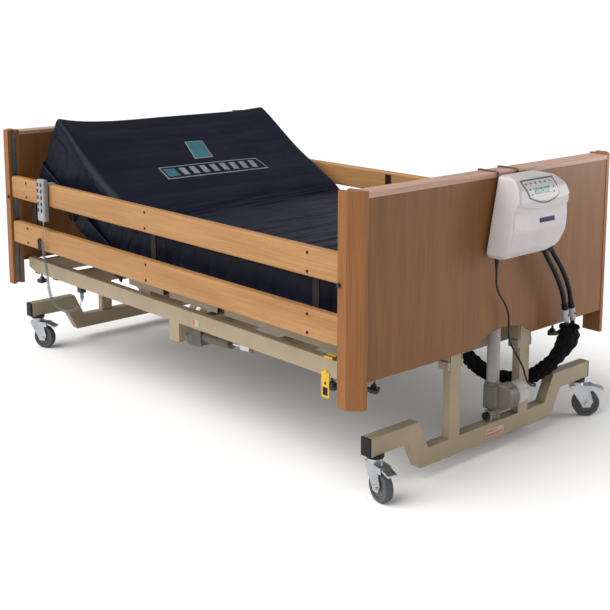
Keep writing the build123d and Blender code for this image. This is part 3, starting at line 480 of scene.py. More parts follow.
def add_turned(bm, start, direction, profile, sides=32, index=0):
    """A turned shape: (distance along in mm, radius in mm) pairs about a line."""
    part = bmesh.new()
    turn = Vector(direction).to_track_quat("Z", "Y")
    rings = []
    for along, radius in profile:
        ring = []
        for side in range(sides):
            angle = math.tau * side / sides
            offset = Vector((radius * math.cos(angle), radius * math.sin(angle), along)) / 1000
            ring.append(part.verts.new(Vector(start) + turn @ offset))
        rings.append(ring)
    for lower, upper in zip(rings, rings[1:]):
        for side in range(sides):
            after = (side + 1) % sides
            part.faces.new((lower[side], lower[after], upper[after], upper[side]))
    part.faces.new(list(reversed(rings[0])))
    part.faces.new(rings[-1])
    merge(bm, part, index)


def nurbs(name, points, radius=0.0, resolution=6):
    """A curve of one open NURBS spline with these control points."""
    curve = bpy.data.curves.new(name, "CURVE")
    curve.dimensions = "3D"
    curve.resolution_u = resolution
    curve.bevel_depth = radius
    curve.bevel_resolution = 3
    curve.use_fill_caps = True
    spline = curve.splines.new("NURBS")
    spline.points.add(len(points) - 1)
    for control, point in zip(spline.points, points):
        control.co = (*point, 1)
    spline.order_u = 3
    spline.use_endpoint_u = True
    return curve


def curve_mesh(curve):
    """The mesh of a curve, as Blender draws it."""
    holder = bpy.data.objects.new("holder", curve)
    bpy.context.scene.collection.objects.link(holder)
    bpy.context.view_layer.update()
    mesh = bpy.data.meshes.new_from_object(holder)
    bpy.data.objects.remove(holder)
    return mesh


def line_of(points, resolution=6):
    """Points along the NURBS spline of a route, in order."""
    mesh = curve_mesh(nurbs("route", points, 0.0, resolution))
    line = [vert.co.copy() for vert in mesh.vertices]
    bpy.data.meshes.remove(mesh)
    return line


def length_of(line):
    """The length of a line of points, in metres."""
    return sum((after - before).length for before, after in zip(line, line[1:]))


def even(line, step):
    """The line's points respaced about one step apart, ends kept."""
    total = length_of(line)
    count = max(2, round(total / step))
    marks = [total * index / count for index in range(count + 1)]
    spaced, walked, segment = [line[0].copy()], 0.0, 0
    for mark in marks[1:-1]:
        while walked + (line[segment + 1] - line[segment]).length < mark:
            walked += (line[segment + 1] - line[segment]).length
            segment += 1
        run = line[segment + 1] - line[segment]
        spaced.append(line[segment] + run * ((mark - walked) / run.length))
    spaced.append(line[-1].copy())
    return spaced


def frames_along(line):
    """(point, normal, side) for each point of a line, carried along without twist."""
    tangents = []
    for index in range(len(line)):
        before, after = line[max(index - 1, 0)], line[min(index + 1, len(line) - 1)]
        tangents.append((after - before).normalized())
    normal = tangents[0].orthogonal().normalized()
    placed = []
    for point, tangent in zip(line, tangents):
        normal = (normal - tangent * normal.dot(tangent)).normalized()
        placed.append((point, normal, tangent.cross(normal)))
    return placed


# ---------------------------------------------------------------- routes of the cords
MAINS_LEAD = [
    (1128, -50, 664), (1128, -50, 636), (1125, -44, 606), (1121, -22, 574), (1118, 8, 545),
    (1117, 30, 512), (1117, 38, 474), (1117, 36, 436), (1118, 42, 402), (1124, 60, 368),
    (1133, 77, 336), (1142, 91, 304), (1148, 97, 272), (1151, 110, 246), (1149, 136, 230),
    (1138, 166, 220), (1118, 196, 212), (1092, 222, 206), (1058, 238, 192), (1024, 236, 172),
    (990, 214, 158), (958, 184, 164), (932, 152, 194), (914, 118, 234), (899, 86, 276),
    (887, 54, 316), (875, 28, 350), (864, 12, 382), (849, 2, 406), (834, -8, 411),
    (825, -22, 405),
]
COIL_CENTRE = (770, -35)
COIL_LAYERS = (397.4, 390.2, 383.0, 375.8)
COIL_INSIDE = 31.6
COIL_STEP = 7.2
PLUG_TAIL = [(752, 15, 376.5), (762, 26, 379), (768, 40, 382.5), (770, 54, 384), (770, 66, 384)]
AIR_HOSES = (
    [
        (1140, 188, 720), (1140, 188, 698), (1143, 203, 671), (1147, 226, 638), (1149, 252, 601),
        (1150, 277, 559), (1150, 298, 514), (1148, 311, 472),
    ],
    [
        (1140, 213, 748), (1140, 213, 722), (1143, 230, 690), (1147, 256, 655), (1149, 286, 616),
        (1150, 314, 571), (1150, 336, 522), (1148, 349, 472),
    ],
)
HOSE_SLEEVE = [
    (1146, 344, 405), (1146, 344, 368), (1138, 332, 330), (1121, 313, 292), (1094, 299, 252),
    (1058, 291, 219), (1018, 277, 197), (985, 245, 190), (966, 198, 199), (957, 147, 222),
    (950, 98, 253), (943, 56, 290), (936, 26, 327), (930, 10, 362), (930, 10, 396),
]
HANDSET_LEAD = [(-726, -671, 636), (-726, -671, 622), (-729, -672, 607), (-734, -672, 592)]
HANDSET_CURL = [
    (-734, -672, 592), (-739, -672, 568), (-742, -671, 540), (-738, -670, 508), (-728, -670, 474),
    (-720, -670, 436), (-717, -669, 396), (-711, -668, 356), (-699, -665, 320), (-680, -657, 290),
    (-656, -643, 269), (-632, -622, 262), (-613, -600, 272), (-603, -584, 292), (-600, -578, 318),
]


def coil_points():
    """Control points of the wound turns: four layers, each three tracks wide and neat."""
    per_turn = 16
    layer_steps = 3 * per_turn
    change_steps = per_turn // 4
    points = []
    angle = math.radians(8)
    inward = True
    widen = 1 / math.cos(math.pi / per_turn)
    for number, height in enumerate(COIL_LAYERS):
        steps = layer_steps if number < 3 else layer_steps - 1
        for step in range(steps):
            travelled = COIL_STEP * step / per_turn
            radius = COIL_INSIDE + (3 * COIL_STEP - travelled if inward else travelled)
            points.append((radius, angle, height))
            angle -= math.tau / per_turn
        if number < 3:
            radius = COIL_INSIDE if inward else COIL_INSIDE + 3 * COIL_STEP
            for step in range(change_steps):
                share = step / change_steps
                level = height + (COIL_LAYERS[number + 1] - height) * share
                points.append((radius, angle, level))
                angle -= math.tau / per_turn
        inward = not inward
    x, y = COIL_CENTRE
    return [
        (x + widen * r * math.cos(a), y + widen * r * math.sin(a), z) for r, a, z in points
    ]


def mains_lead():
    """The pump's mains lead: down the footboard, under the frame, coiled on the control box."""
    route = [at(*point) for point in MAINS_LEAD + coil_points() + PLUG_TAIL]
    length = length_of(line_of(route))
    lead = show(
        "mains_lead_cord", nurbs("mains_lead_cord", route, LEAD_D / 2), "lead_black", "bed_frame", "lead"
    )
    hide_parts("mains_lead", "mains_coil")
    plug = mains_plug()
    tie = coil_tie()


def mains_plug():
    """A moulded plug with a ribbed tail and three flat pins."""
    bm = bmesh.new()
    x, y = 770, 92
    add_block(bm, (x - 25, y - 24, 372.5), (x + 25, y + 20, 395.5), 7, 4)
    add_block(bm, (x - 21, y - 14, 394), (x + 21, y + 12, 397), 1.4, 2)
    ribs = [(0, 4.6)]
    for rib in range(4):
        ribs.extend(
            [(2 + 5 * rib, 5.6 + 0.5 * rib), (4.5 + 5 * rib, 5.6 + 0.5 * rib), (5 + 5 * rib, 4.8 + 0.5 * rib)]
        )
    ribs.append((24, 7))
    add_turned(bm, at(x, 46, 384), (0, 1, 0), ribs, 24)
    pins = [
        ((x - 2, y + 19, 380), (x + 2, y + 36, 388)),
        ((x - 14, y + 19, 382), (x - 8, y + 34, 386)),
        ((x + 8, y + 19, 382), (x + 14, y + 34, 386)),
    ]
    for low, high in pins:
        add_block(bm, low, high, 0.6, 2, 1)
    plug = formed("mains_plug_body", bm, "lead_black", "bed_frame", "lead", "pin")
    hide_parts("mains_plug")
    return plug


def coil_tie():
    """The strap round the coil's bundle, with its tail standing out."""
    bm = bmesh.new()
    x, y = COIL_CENTRE
    middle = COIL_INSIDE + 1.5 * COIL_STEP
    half, rise = 17.6, 15.2
    part = bmesh.new()
    rings = []
    for step in range(24):
        angle = math.tau * step / 24
        across = math.copysign(abs(math.cos(angle)) ** 0.45, math.cos(angle))
        up = math.copysign(abs(math.sin(angle)) ** 0.45, math.sin(angle))
        ring = []
        for grow, side in ((0, -4), (1.4, -4), (1.4, 4), (0, 4)):
            height = 386.6 + (rise + min(grow, 0.0) + grow * 0.4) * up
            ring.append(part.verts.new(at(x - middle + (half + grow) * across, y + side, height)))
        rings.append(ring)
    for ring, after in zip(rings, rings[1:] + rings[:1]):
        for edge in range(4):
            nxt = (edge + 1) % 4
            part.faces.new((ring[edge], ring[nxt], after[nxt], after[edge]))
    merge(bm, part, 0)
    return formed("lead_tie", bm, "lead_black", "bed_frame", "black")


def air_hoses():
    """Two air hoses from the pump to their white quick connectors."""
    for number, points in enumerate(AIR_HOSES):
        route = [at(*point) for point in points]
        length = length_of(line_of(route))
        name = f"air_hose_{number + 1}"
        hose = show(name, nurbs(name, route, HOSE_D / 2, 10), "hose_black", "bed_frame", "hose")
        connector = hose_connector(number, points)
        if number == 0:
            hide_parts("air_hoses")
            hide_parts("hose_connectors")


def hose_connector(number, points):
    """The ribbed nut on a hose's end, the white coupling with its collar, and the stub below."""
    end = at(*points[-1])
    run = (end - at(*points[-2])).normalized()
    bm = bmesh.new()
    profile = [(-20, 10), (-18, 11.4)]
    for rib in range(4):
        profile.extend(
            [(-16 + 5 * rib, 11.8), (-13.5 + 5 * rib, 11.8), (-13 + 5 * rib, 10.6), (-11.5 + 5 * rib, 10.6)]
        )
    profile.append((5, 10.6))
    add_turned(bm, end, run, profile, 36, 1)
    add_turned(bm, end, run, [
        (2, 9.6), (3, 11.6), (12, 11.9), (13, 10.4), (17, 10.4), (18, 12), (30, 12), (31, 11.2),
        (33, 11.2), (34, 12), (44, 11.6), (50, 10.8), (52, 9),
    ], 40, 0)
    catch = end + run * 0.024
    side = run.cross(Vector((0, 1, 0))).normalized()
    add_turned(bm, catch + side * 0.010, side, [(0, 4), (2.8, 4), (3.4, 3.2)], 20, 1)
    tip = end + run * 0.052
    down = Vector((tip.x, tip.y, at(0, 0, 388).z)) - tip
    add_turned(bm, tip - down.normalized() * 0.004, down, [(0, 8), (down.length * 1000, 8.6)], 32, 1)
    name = f"hose_connector_{number + 1}"
    return formed(name, bm, "connector_white", "bed_frame", "connector", "hose")


def hose_block():
    """The coupling block at the mattress end of the hoses, and the sockets under the pump."""
    bm = bmesh.new()
    add_block(bm, (900, -20, 396), (969.5, 40, 421.5), 4, 3)
    add_block(bm, (896, -12, 401), (902, 32, 417), 1.5, 2)
    block = formed("hose_block", bm, "connector_white", "bed_frame", "black")
    bm = bmesh.new()
    for x, y, low in ((1140, 188, 700), (1140, 213, 701)):
        add_turned(bm, at(x, y, low - 9), (0, 0, 1), [
            (0, 9.6), (0.5, 10.4), (5, 10.8), (6, 12.6), (9, 12.6), (9.5, 10.9), (66, 10.9),
        ], 32)
    formed("hose_sockets", bm, "connector_white", "bed_frame", "black")
    return block


def hose_sleeve():
    """The gathered cloth sleeve round the hoses, wide at its mouth and tied at its far end."""
    line = even(line_of([at(*point) for point in HOSE_SLEEVE], 12), 0.0035)
    placed = frames_along(line)
    total = length_of(line)
    sides = 72
    part = bmesh.new()
    rings = []
    for index, (point, normal, side) in enumerate(placed):
        run = total * index / (len(placed) - 1)
        mouth = 10.5 * (1 - smooth((run - 0.045) / 0.075))
        base = 25.2 + mouth
        gather = 2.6 * math.sin(run * 1000 / 4.6 + 1.6 * math.sin(run * 27))
        waist = -5.0 * math.exp(-((run - 0.012) / 0.008) ** 2)
        close = -9 * smooth((run - total + 0.05) / 0.05)
        ring = []
        for step in range(sides):
            angle = math.tau * step / sides
            pleat = 1.7 * math.sin(9 * angle + 5 * math.sin(run * 31))
            spot = point * 55 + Vector((3 * math.cos(angle), 3 * math.sin(angle), 0))
            crumple = 4.2 * noise.noise(spot)
            radius = base + waist + close + 0.75 * gather + pleat + crumple
            radius = min(radius, 29.5 + mouth)
            ring.append(
                part.verts.new(point + (normal * math.cos(angle) + side * math.sin(angle)) * radius / 1000)
            )
        rings.append(ring)
    for lower, upper in zip(rings, rings[1:]):
        for step in range(sides):
            after = (step + 1) % sides
            part.faces.new((lower[step], lower[after], upper[after], upper[step]))
    top = at(0, 0, 404).z
    for vert in part.verts:
        vert.co.z = min(vert.co.z, top)
    bm = bmesh.new()
    merge(bm, part, 0)
    sleeve = formed("hose_sleeve_cloth", bm, "sleeve_fabric", "bed_frame", "sleeve", sharp=180)
    thicken = sleeve.modifiers.new("thickness", "SOLIDIFY")
    thicken.thickness = 0.0012
    thicken.offset = -1
    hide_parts("hose_sleeve")


def handset_cord():
    """The handset's lead: a short straight part, then a long springy curl to its plug."""
    straight = [at(*point) for point in HANDSET_LEAD]
    core = even(line_of([at(*point) for point in HANDSET_CURL], 12), 0.001)
    per_turn = 12
    step = CURL_PITCH / per_turn
    placed = frames_along(even(core, step))
    last = len(placed) - 1
    helix, angle = [], 0.0
    for index, (point, normal, side) in enumerate(placed):
        reach = CURL_R * smooth(min(index, last - index) * step / CURL_FADE) / math.cos(math.pi / per_turn)
        helix.append(point + (normal * math.cos(angle) + side * math.sin(angle)) * reach)
        drawn_out = CURL_EASE * math.sqrt(max(0.0, CURL_BEND * reach - reach * reach))
        angle += step / max(CURL_PITCH / math.tau, drawn_out)
    route = straight[:-1] + helix
    path = line_of(route, 3)
    tube = nurbs("handset_lead_curl", route, CURL_WIRE_D / 2, 3)
    tube.bevel_resolution = 2
    mesh = curve_mesh(tube)
    for face in mesh.polygons:
        face.use_smooth = True
    mesh.name = "handset_lead_curl"
    cord = show("handset_lead_curl", mesh, "cord_grey", None, "cord")
    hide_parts("handset_cord")
    bm = bmesh.new()
    x, y = -600, -578
    add_turned(bm, at(x, y, 306), (0, 0, 1), [
        (0, 2.2), (1, 3.2), (12, 5.2), (13, 7.4), (15, 8), (24, 8), (25, 6.8), (27, 6.8), (28, 8),
        (38, 8), (39, 7),
    ], 28)
    plug = formed("handset_plug", bm, "cord_grey", "bed_frame", "cord")
    bm = bmesh.new()
    add_turned(bm, at(-726, -671, 637.5), (0, 0, -1), [
        (0, 4.6), (3, 4.4), (4, 3.6), (5.5, 3.6), (6.5, 4.1), (8, 4.0), (9, 3.2), (10.5, 3.2), (11.5, 3.6),
        (13, 3.5), (14, 2.7), (22, 2.0),
    ], 24)
    relief = formed("handset_relief", bm, "cord_grey", "near_rail", "cord")
    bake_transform(cord)


# ---------------------------------------------------------------- mattress
def raised(x, y, z):
    """A point of the flat mattress, bent up about the back pivot to the resting angle."""
    share = smooth((BACK_PIVOT + BACK_FOLD - x) / (2 * BACK_FOLD))
    angle = REST_ANGLE * share
    out, up = x - BACK_PIVOT, z - PIVOT_Z
    return at(
        BACK_PIVOT + out * math.cos(angle) + up * math.sin(angle),
        y,
        PIVOT_Z - out * math.sin(angle) + up * math.cos(angle),
    )


def groove(x):
    """How deep in a groove between air cells a station lies, from 0 to 1."""
    cell = (x - BACK_SEAM) / CELL_PITCH
    away = (cell - round(cell)) * CELL_PITCH
    return math.exp(-(away / 13) ** 2)


def near_head(x):
    """1 at the head end of the mattress, fading to 0 towards the fold."""
    return 1 - smooth((x - MATTRESS_HEAD) / 380)


def top_relief(x, y):
    """Height of the cover over its flat top, in millimetres."""
    across = abs(y) / MATTRESS_HALF
    pulled = 1.45 if y < 0 else 0.6
    head_edge = near_head(x) * (2 + 30 * pulled * across ** 4)
    inside = 1 - smooth((abs(y) - 410) / 130)
    wander = 9 * noise.noise(Vector((x / 400, y / 260, 3.1)))
    flat_part = smooth((x - BACK_PIVOT + 60) / 120)
    cells = -(0.9 + 2.2 * flat_part) * groove(x + wander) * inside
    crown = -4.0 * across ** 2
    slack = 5.4 * noise.noise(Vector((x / 110 + y / 700, y / 420, 7.7)))
    fold = math.exp(-((x - BACK_PIVOT - 30) / 130) ** 2)
    tuck = fold * 7.5 * noise.noise(Vector((x / 24 + y / 300, y / 240, 1.3)))
    drawn = flat_part * 3.4 * noise.noise(Vector((x / 21, y / 330, 8.2)))
    fine = 0.8 * noise.noise(Vector((x / 40, y / 75, 5.5)))
    return head_edge + cells + crown + (slack + tuck + drawn + fine) * (0.35 + 0.65 * inside)


def side_relief(x, z):
    """How far the side wall stands out, in millimetres."""
    up = (z - MATTRESS_LOW) / (MATTRESS_TOP - MATTRESS_LOW)
    belly = 4.5 * math.sin(math.pi * min(max(up, 0), 1)) - 2
    cells = -2.2 * groove(x) * math.sin(math.pi * min(max(up, 0), 1))
    fold = math.exp(-((x - BACK_PIVOT) / 190) ** 2)
    tucks = fold * 6.5 * (1 - up) * noise.noise(Vector((x / 23, z / 130, 2.2)))
    slack = (4.2 - 2.4 * up) * noise.noise(Vector((x / 75, z / 60, 9.4)))
    seam = 2.6 * sum(math.exp(-((z - line) / 2.2) ** 2) for line in (661, 671))
    corner = (1 - smooth((x - MATTRESS_HEAD) / 260)) * 6 * noise.noise(Vector((x / 60 + z / 50, z / 40, 4.4)))
    return belly + cells + tucks + slack * (1 - smooth((z - 640) / 20)) + seam + corner * (1 - up)


TOP_ROUND = 40
LOW_ROUND = 20


def section_ring(top_round):
    """The mattress's cross-section: ("top", y, z), ("edge", ...), ("side", ...), ("low", ...)."""
    half, top, low = MATTRESS_HALF, MATTRESS_TOP, MATTRESS_LOW
    flat = half - top_round
    ring = [("top", -flat + 2 * flat * step / 60, top) for step in range(61)]
    for step in range(1, 9):
        angle = math.radians(90 - 90 * step / 9)
        ring.append(
            ("edge", flat + top_round * math.cos(angle), top - top_round + top_round * math.sin(angle))
        )
    height = top - TOP_ROUND
    while height > low + LOW_ROUND:
        ring.append(("side", half, height))
        height -= 1.6 if height > 652 else 7.5
    flat = half - LOW_ROUND
    for step in range(1, 5):
        angle = math.radians(90 * step / 5)
        ring.append(
            ("low", flat + LOW_ROUND * math.cos(angle), low + LOW_ROUND - LOW_ROUND * math.sin(angle))
        )
    ring.extend(("low", flat * (1 - step / 6), low) for step in range(13))
    return ring + [(kind, -y, z) for kind, y, z in reversed(ring[61:-13])]


def shaped(kind, x, y, z):
    """A place of the cross-section at one station, with the cover's relief on it."""
    if kind == "top":
        return y, z + top_relief(x, y)
    rise = smooth((z - (MATTRESS_TOP - TOP_ROUND)) / TOP_ROUND)
    lift = top_relief(x, y) * rise
    out = side_relief(x, z) * (1 - rise) if kind != "low" else side_relief(x, z) * smooth((abs(y) - 530) / 30)
    under = 5 * math.exp(-((x + 335) / 50) ** 2) if kind == "low" else 0
    return y + math.copysign(out, y), z + lift + under


def stations(start, end):
    """Places along the mattress, close together where it is rounded off at its ends."""
    count = round((end - start) / 6)
    places = [start + (end - start) * index / count for index in range(count + 1)]
    if start == MATTRESS_HEAD:
        places = [start + d for d in (0, 1.2, 3)] + places[1:]
    if end == MATTRESS_FOOT:
        places = places[:-1] + [end - d for d in (3, 1.2, 0)]
    return places


END_ROUND = 20


def end_inset(x):
    """How far the cross-section draws in where the mattress is rounded off at its ends."""
    away = min(x - MATTRESS_HEAD, MATTRESS_FOOT - x)
    if away >= END_ROUND:
        return 0.0
    return END_ROUND - math.sqrt(END_ROUND ** 2 - (END_ROUND - away) ** 2)


def mattress_piece(name, start, end, nodes):
    """One closed length of the mattress, shaped with the back raised to its resting angle."""
    middle_z = (MATTRESS_TOP + MATTRESS_LOW) / 2
    part = bmesh.new()
    rings = []
    for x in stations(start, end):
        inset = end_inset(x)
        ring = []
        for kind, y, z in section_ring(TOP_ROUND * (1 - 0.6 * near_head(x))):
            y, z = shaped(kind, x, y, z)
            y -= math.copysign(min(inset, abs(y)), y) * (abs(y) / MATTRESS_HALF) ** 2
            z -= inset * (z - middle_z) / (MATTRESS_TOP - middle_z)
            ring.append(part.verts.new(raised(x, y, z)))
        rings.append(ring)
    count = len(rings[0])
    for before, after in zip(rings, rings[1:]):
        for step in range(count):
            nxt = (step + 1) % count
            part.faces.new((before[step], before[nxt], after[nxt], after[step]))
    part.faces.new(rings[0])
    part.faces.new(list(reversed(rings[-1])))
    bmesh.ops.triangulate(part, faces=[face for face in part.faces if len(face.verts) > 4])
    bm = bmesh.new()
    merge(bm, part, 0)
    piece = formed(name, bm, "mattress_cover", None, "cover", sharp=60)
    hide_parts(*nodes)
    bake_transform(piece)
    return piece


def mattress():
    """The mattress in three lengths; the back length is bent up over the back pivot."""
    back = mattress_piece(
        "mattress_back_cover", MATTRESS_HEAD, BACK_SEAM, ("mattress_back", "mattress_seat"),
    )
    mattress_piece(
        "mattress_thigh_cover", BACK_SEAM, THIGH_SEAM, ("mattress_thigh",)
    )
    mattress_piece(
        "mattress_calf_cover", THIGH_SEAM, MATTRESS_FOOT, ("mattress_calf",)
    )
    cover_hem()
    return back


def hem_path(step):
    """Places (x, y) at even steps along the cover's hem: near side, head end, far side."""
    side_y, head_x, foot_x, corner = MATTRESS_HALF + 14, MATTRESS_HEAD - 2, BACK_PIVOT - 20, 26
    near = [(foot_x, -side_y), (head_x + corner, -side_y)]
    turn = []
    for part in range(1, 6):
        angle = math.radians(90 * part / 6)
        turn.append((head_x + corner * (1 - math.sin(angle)), -side_y + corner * (1 - math.cos(angle))))
    end = [(head_x, -side_y + corner), (head_x, side_y - corner)]
    far = [(x, -y) for x, y in reversed(near + turn)]
    line = [Vector((x, y, 0)) for x, y in near + turn + end + far]
    return even(line, step)


def cover_hem():
    """The loose lower hem of the cover, hanging round the raised back of the platform."""
    part = bmesh.new()
    rows = 12
    grid = []
    path = hem_path(6.0)
    for index, place in enumerate(path):
        x, y = place.x, place.y
        before, after = path[max(index - 1, 0)], path[min(index + 1, len(path) - 1)]
        out = (after - before).normalized().cross(Vector((0, 0, 1)))
        room = 4.5 * smooth((x - MATTRESS_HEAD - 20) / 60)
        line = []
        for row in range(rows + 1):
            down = row / rows
            z = MATTRESS_LOW + 34 - (MATTRESS_LOW + 34 - PIVOT_Z + 21) * down
            ripple = noise.noise(Vector((x / 19, y / 19, z / 130)))
            swing = down * (room * (0.6 + ripple) + 1.2 * ripple)
            line.append(part.verts.new(raised(x - out.x * swing, y - out.y * swing, z)))
        grid.append(line)
    for before, after in zip(grid, grid[1:]):
        for row in range(rows):
            part.faces.new((before[row], after[row], after[row + 1], before[row + 1]))
    bm = bmesh.new()
    merge(bm, part, 0)
    hem = formed("cover_hem", bm, "mattress_cover", None, "cover", sharp=180)
    apply_thickness(hem, 0.0016)
    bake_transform(hem)


def apply_thickness(piece, thickness):
    """Turn an open sheet into a closed one of that thickness."""
    solidify = piece.modifiers.new("thickness", "SOLIDIFY")
    solidify.thickness = thickness
    solidify.offset = 0
    depsgraph = bpy.context.evaluated_depsgraph_get()
    mesh = bpy.data.meshes.new_from_object(piece.evaluated_get(depsgraph))
    piece.modifiers.clear()
    piece.data = mesh


def patch(name, target, corners, direction, lift, thickness, slot, body, material, size, belly=0.0):
    """A thin panel laid on a target's surface, between four corners seen along a direction.

    The third and fourth corners' edge bulges outwards by the belly share.
    """
    tree = BVHTree.FromObject(target, bpy.context.evaluated_depsgraph_get())
    direction = Vector(direction).normalized()
    first, second, third, fourth = (Vector(corner) for corner in corners)
    columns, rows = size
    part = bmesh.new()
    outer, inner = [], []
    for row in range(rows + 1):
        for column in range(columns + 1):
            u, v = column / columns, row / rows
            drop = v * (1 + belly * math.sin(math.pi * u))
            spot = (first * (1 - u) + second * u) * (1 - drop) + (fourth * (1 - u) + third * u) * drop
            hit = tree.ray_cast(spot - direction * 0.3, direction)[0]
            ground = hit if hit is not None else spot
            edge = min(u * columns, (1 - u) * columns, v * rows, (1 - v) * rows)
            height = lift * (0.35 if edge < 0.5 else 1.0)
            outer.append(part.verts.new(ground - direction * height))
            inner.append(part.verts.new(ground - direction * (height - thickness)))
    wide = columns + 1
    for row in range(rows):
        for column in range(columns):
            a = row * wide + column
            for layer, order in ((outer, 1), (inner, -1)):
                quad = (layer[a], layer[a + 1], layer[a + 1 + wide], layer[a + wide])
                part.faces.new(quad[::order])
    rim = list(range(columns)) + [r * wide + columns for r in range(rows)]
    rim += [rows * wide + c for c in range(columns, 0, -1)] + [r * wide for r in range(rows, 0, -1)]
    for a, b in zip(rim, rim[1:] + rim[:1]):
        part.faces.new((outer[a], inner[a], inner[b], outer[b]))
    bm = bmesh.new()
    merge(bm, part, 0)
    return formed(name, bm, slot, body, material, sharp=50)


def back_patch(name, back, corners, lift, material, size):
    """A woven patch on the top of the raised back part; corners are flat X and Y."""
    up = Vector((math.sin(REST_ANGLE), 0, math.cos(REST_ANGLE)))
    places = [raised(x, y, MATTRESS_TOP) for x, y in corners]
    patch(name, back, places, -up, lift, lift + 0.0008, "mattress_cover", "backrest", material, size)


def cover_patches(back):
    """Two plain woven patches on the back part: a teal one and a long pale one."""
    back_patch(
        "patch_teal_border", back, [(-800, -28), (-797, 66), (-672, 44), (-672, -54)], 0.0013, "pale",
        (20, 26)
    )
    back_patch(
        "patch_teal_field", back, [(-797, -25), (-794, 63), (-675, 41), (-675, -51)], 0.0019, "teal",
        (20, 26)
    )
    back_patch(
        "patch_band", back, [(-646, -262), (-628, 250), (-549, 268), (-556, -266)], 0.0013, "pale", (80, 16)
    )
    back_patch(
        "patch_band_field", back, [(-643, -259), (-625, 247), (-552, 265), (-559, -263)], 0.0018, "cover",
        (80, 16)
    )
    back_patch(
        "patch_band_teal", back, [(-633, -250), (-629, -190), (-567, -192), (-567, -254)], 0.0024, "teal",
        (14, 14)
    )
    for number in range(8):
        y = -176 + 52 * number
        lean = 3 * number
        corners = [
            (-628 + lean / 2, y), (-626 + lean / 2, y + 34), (-566 + lean / 4, y + 34), (-570 + lean / 4, y)
        ]
        back_patch(f"patch_band_bar_{number + 1}", back, corners, 0.0024, "pale", (8, 12))


def add_ring(bm, place, reach, tube):
    """A ring of round wire; place(along, up, out) gives its points, with all three in mm."""
    part = bmesh.new()
    sides, turns = 12, 40
    rings = []
    for turn in range(turns):
        angle = math.tau * turn / turns
        ring = []
        for step in range(sides):
            around = math.tau * step / sides
            far = reach + tube * math.cos(around)
            spot = place(far * math.cos(angle), far * math.sin(angle), tube * math.sin(around))
            ring.append(part.verts.new(spot))
        rings.append(ring)
    for ring, after in zip(rings, rings[1:] + rings[:1]):
        for step in range(sides):
            nxt = (step + 1) % sides
            part.faces.new((ring[step], ring[nxt], after[nxt], after[step]))
    merge(bm, part, 0)


def retainer(side, name):
    """The dark loop at the platform's edge that keeps the mattress in place."""
    bm = bmesh.new()

    def place(along, up, out):
        return raised(-694 + along, side * (586 + out), 457 + 1.15 * up)

    add_ring(bm, place, 15.5, 4)
    return formed(name, bm, "black_plastic", "backrest", "black")


# ---------------------------------------------------------------- pump
def pump():
    """The pump's moulded shell, rounded over from its solid, with its facia and label strip."""
    source = frame["nodes"]["pump_case"]
    mesh = source.data.copy()
    mesh.name = "pump_shell_body"
    mesh.materials.clear()
    shell = show("pump_shell_body", mesh, "pump_shell", None, "shell")
    remesh = shell.modifiers.new("remesh", "REMESH")
    remesh.mode = "VOXEL"
    remesh.voxel_size = 0.0028
    relax = shell.modifiers.new("relax", "SMOOTH")
    relax.factor = 0.5
    relax.iterations = 26
    depsgraph = bpy.context.evaluated_depsgraph_get()
    done = bpy.data.meshes.new_from_object(shell.evaluated_get(depsgraph))
    shell.modifiers.clear()
    shell.data = done
    front_x, middle_y = at(1150, 80, 0).x, 0.08
    for vert in done.vertices:
        x, y, z = vert.co
        front = smooth((x - front_x) / 0.02)
        brow = 0.866 + 1.5 * (y - middle_y) ** 2
        below = smooth((brow - z) / 0.007)
        fade = 1 - smooth((brow - z) / 0.11)
        vert.co.x -= 0.0075 * front * below * fade
    for face in done.polygons:
        face.use_smooth = True
    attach(shell, "bed_frame")
    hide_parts("pump_case")
    pump_panel(
        "pump_rim", shell, [(-8, 961), (164, 961), (176, 905), (12, 903)], 0.0012, "rim", (40, 24), 0.42
    )
    pump_panel(
        "pump_facia", shell, [(-4, 958), (160, 958), (172, 907), (15, 905)], 0.0018, "facia", (40, 24), 0.40
    )
    pump_panel(
        "pump_window", shell, [(40, 935), (130, 935), (130, 913), (40, 913)], 0.0024, "display", (20, 10)
    )
    for number in range(6):
        y = 8 + 25 * number
        places = [(y, 952), (y + 11, 952), (y + 11, 945), (y, 945)]
        pump_panel(f"pump_key_{number + 1}", shell, places, 0.0024, "rim", (6, 5))
    for number, (y, z) in enumerate(((19, 934), (25, 918), (142, 932), (140, 917))):
        places = [(y, z), (y + 9, z), (y + 9, z - 7), (y, z - 7)]
        pump_panel(f"pump_mark_{number + 1}", shell, places, 0.0024, "rim", (6, 5))
    pump_panel("pump_strip", shell, [(85, 829), (166, 829), (166, 813), (85, 813)], 0.0011, "strip", (16, 6))
    return shell


def pump_panel(name, shell, places, lift, material, size, belly=0.0):
    """A thin panel on the pump's front; places are Y and Z."""
    corners = [at(1210, y, z) for y, z in places]
    return patch(
        name, shell, corners, (-1, 0, 0), lift, lift + 0.0008, "pump_shell", "bed_frame", material, size,
        belly
    )


# ---------------------------------------------------------------- handset
def handset():
    """The handset: a grey case, two columns of five dark keys, and the hook over the bar."""
    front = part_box("handset_case")[0].y * 1000
    bm = bmesh.new()
    add_block(bm, (-755, front, 637), (-697, front + 24, 811), 7, 5)
    for row in range(5):
        for column in range(2):
            x = -751 + 26.5 * column
            z = 675 + 26.5 * row
            add_block(bm, (x, front - 1.6, z), (x + 13, front + 3, z + 16), 2.2, 3, 1)
    add_block(bm, (-742, front + 22, 700), (-710, front + 28, 791), 1.5, 2)
    add_block(bm, (-742, front + 24.5, 787.5), (-710, front + 66, 791.5), 1.2, 2)
    add_block(bm, (-742, front + 63, 768), (-710, front + 66, 791), 1.2, 2)
    case = formed("handset_body", bm, "handset_grey", "near_rail", "handset", "key")
    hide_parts("handset_case")
    return case


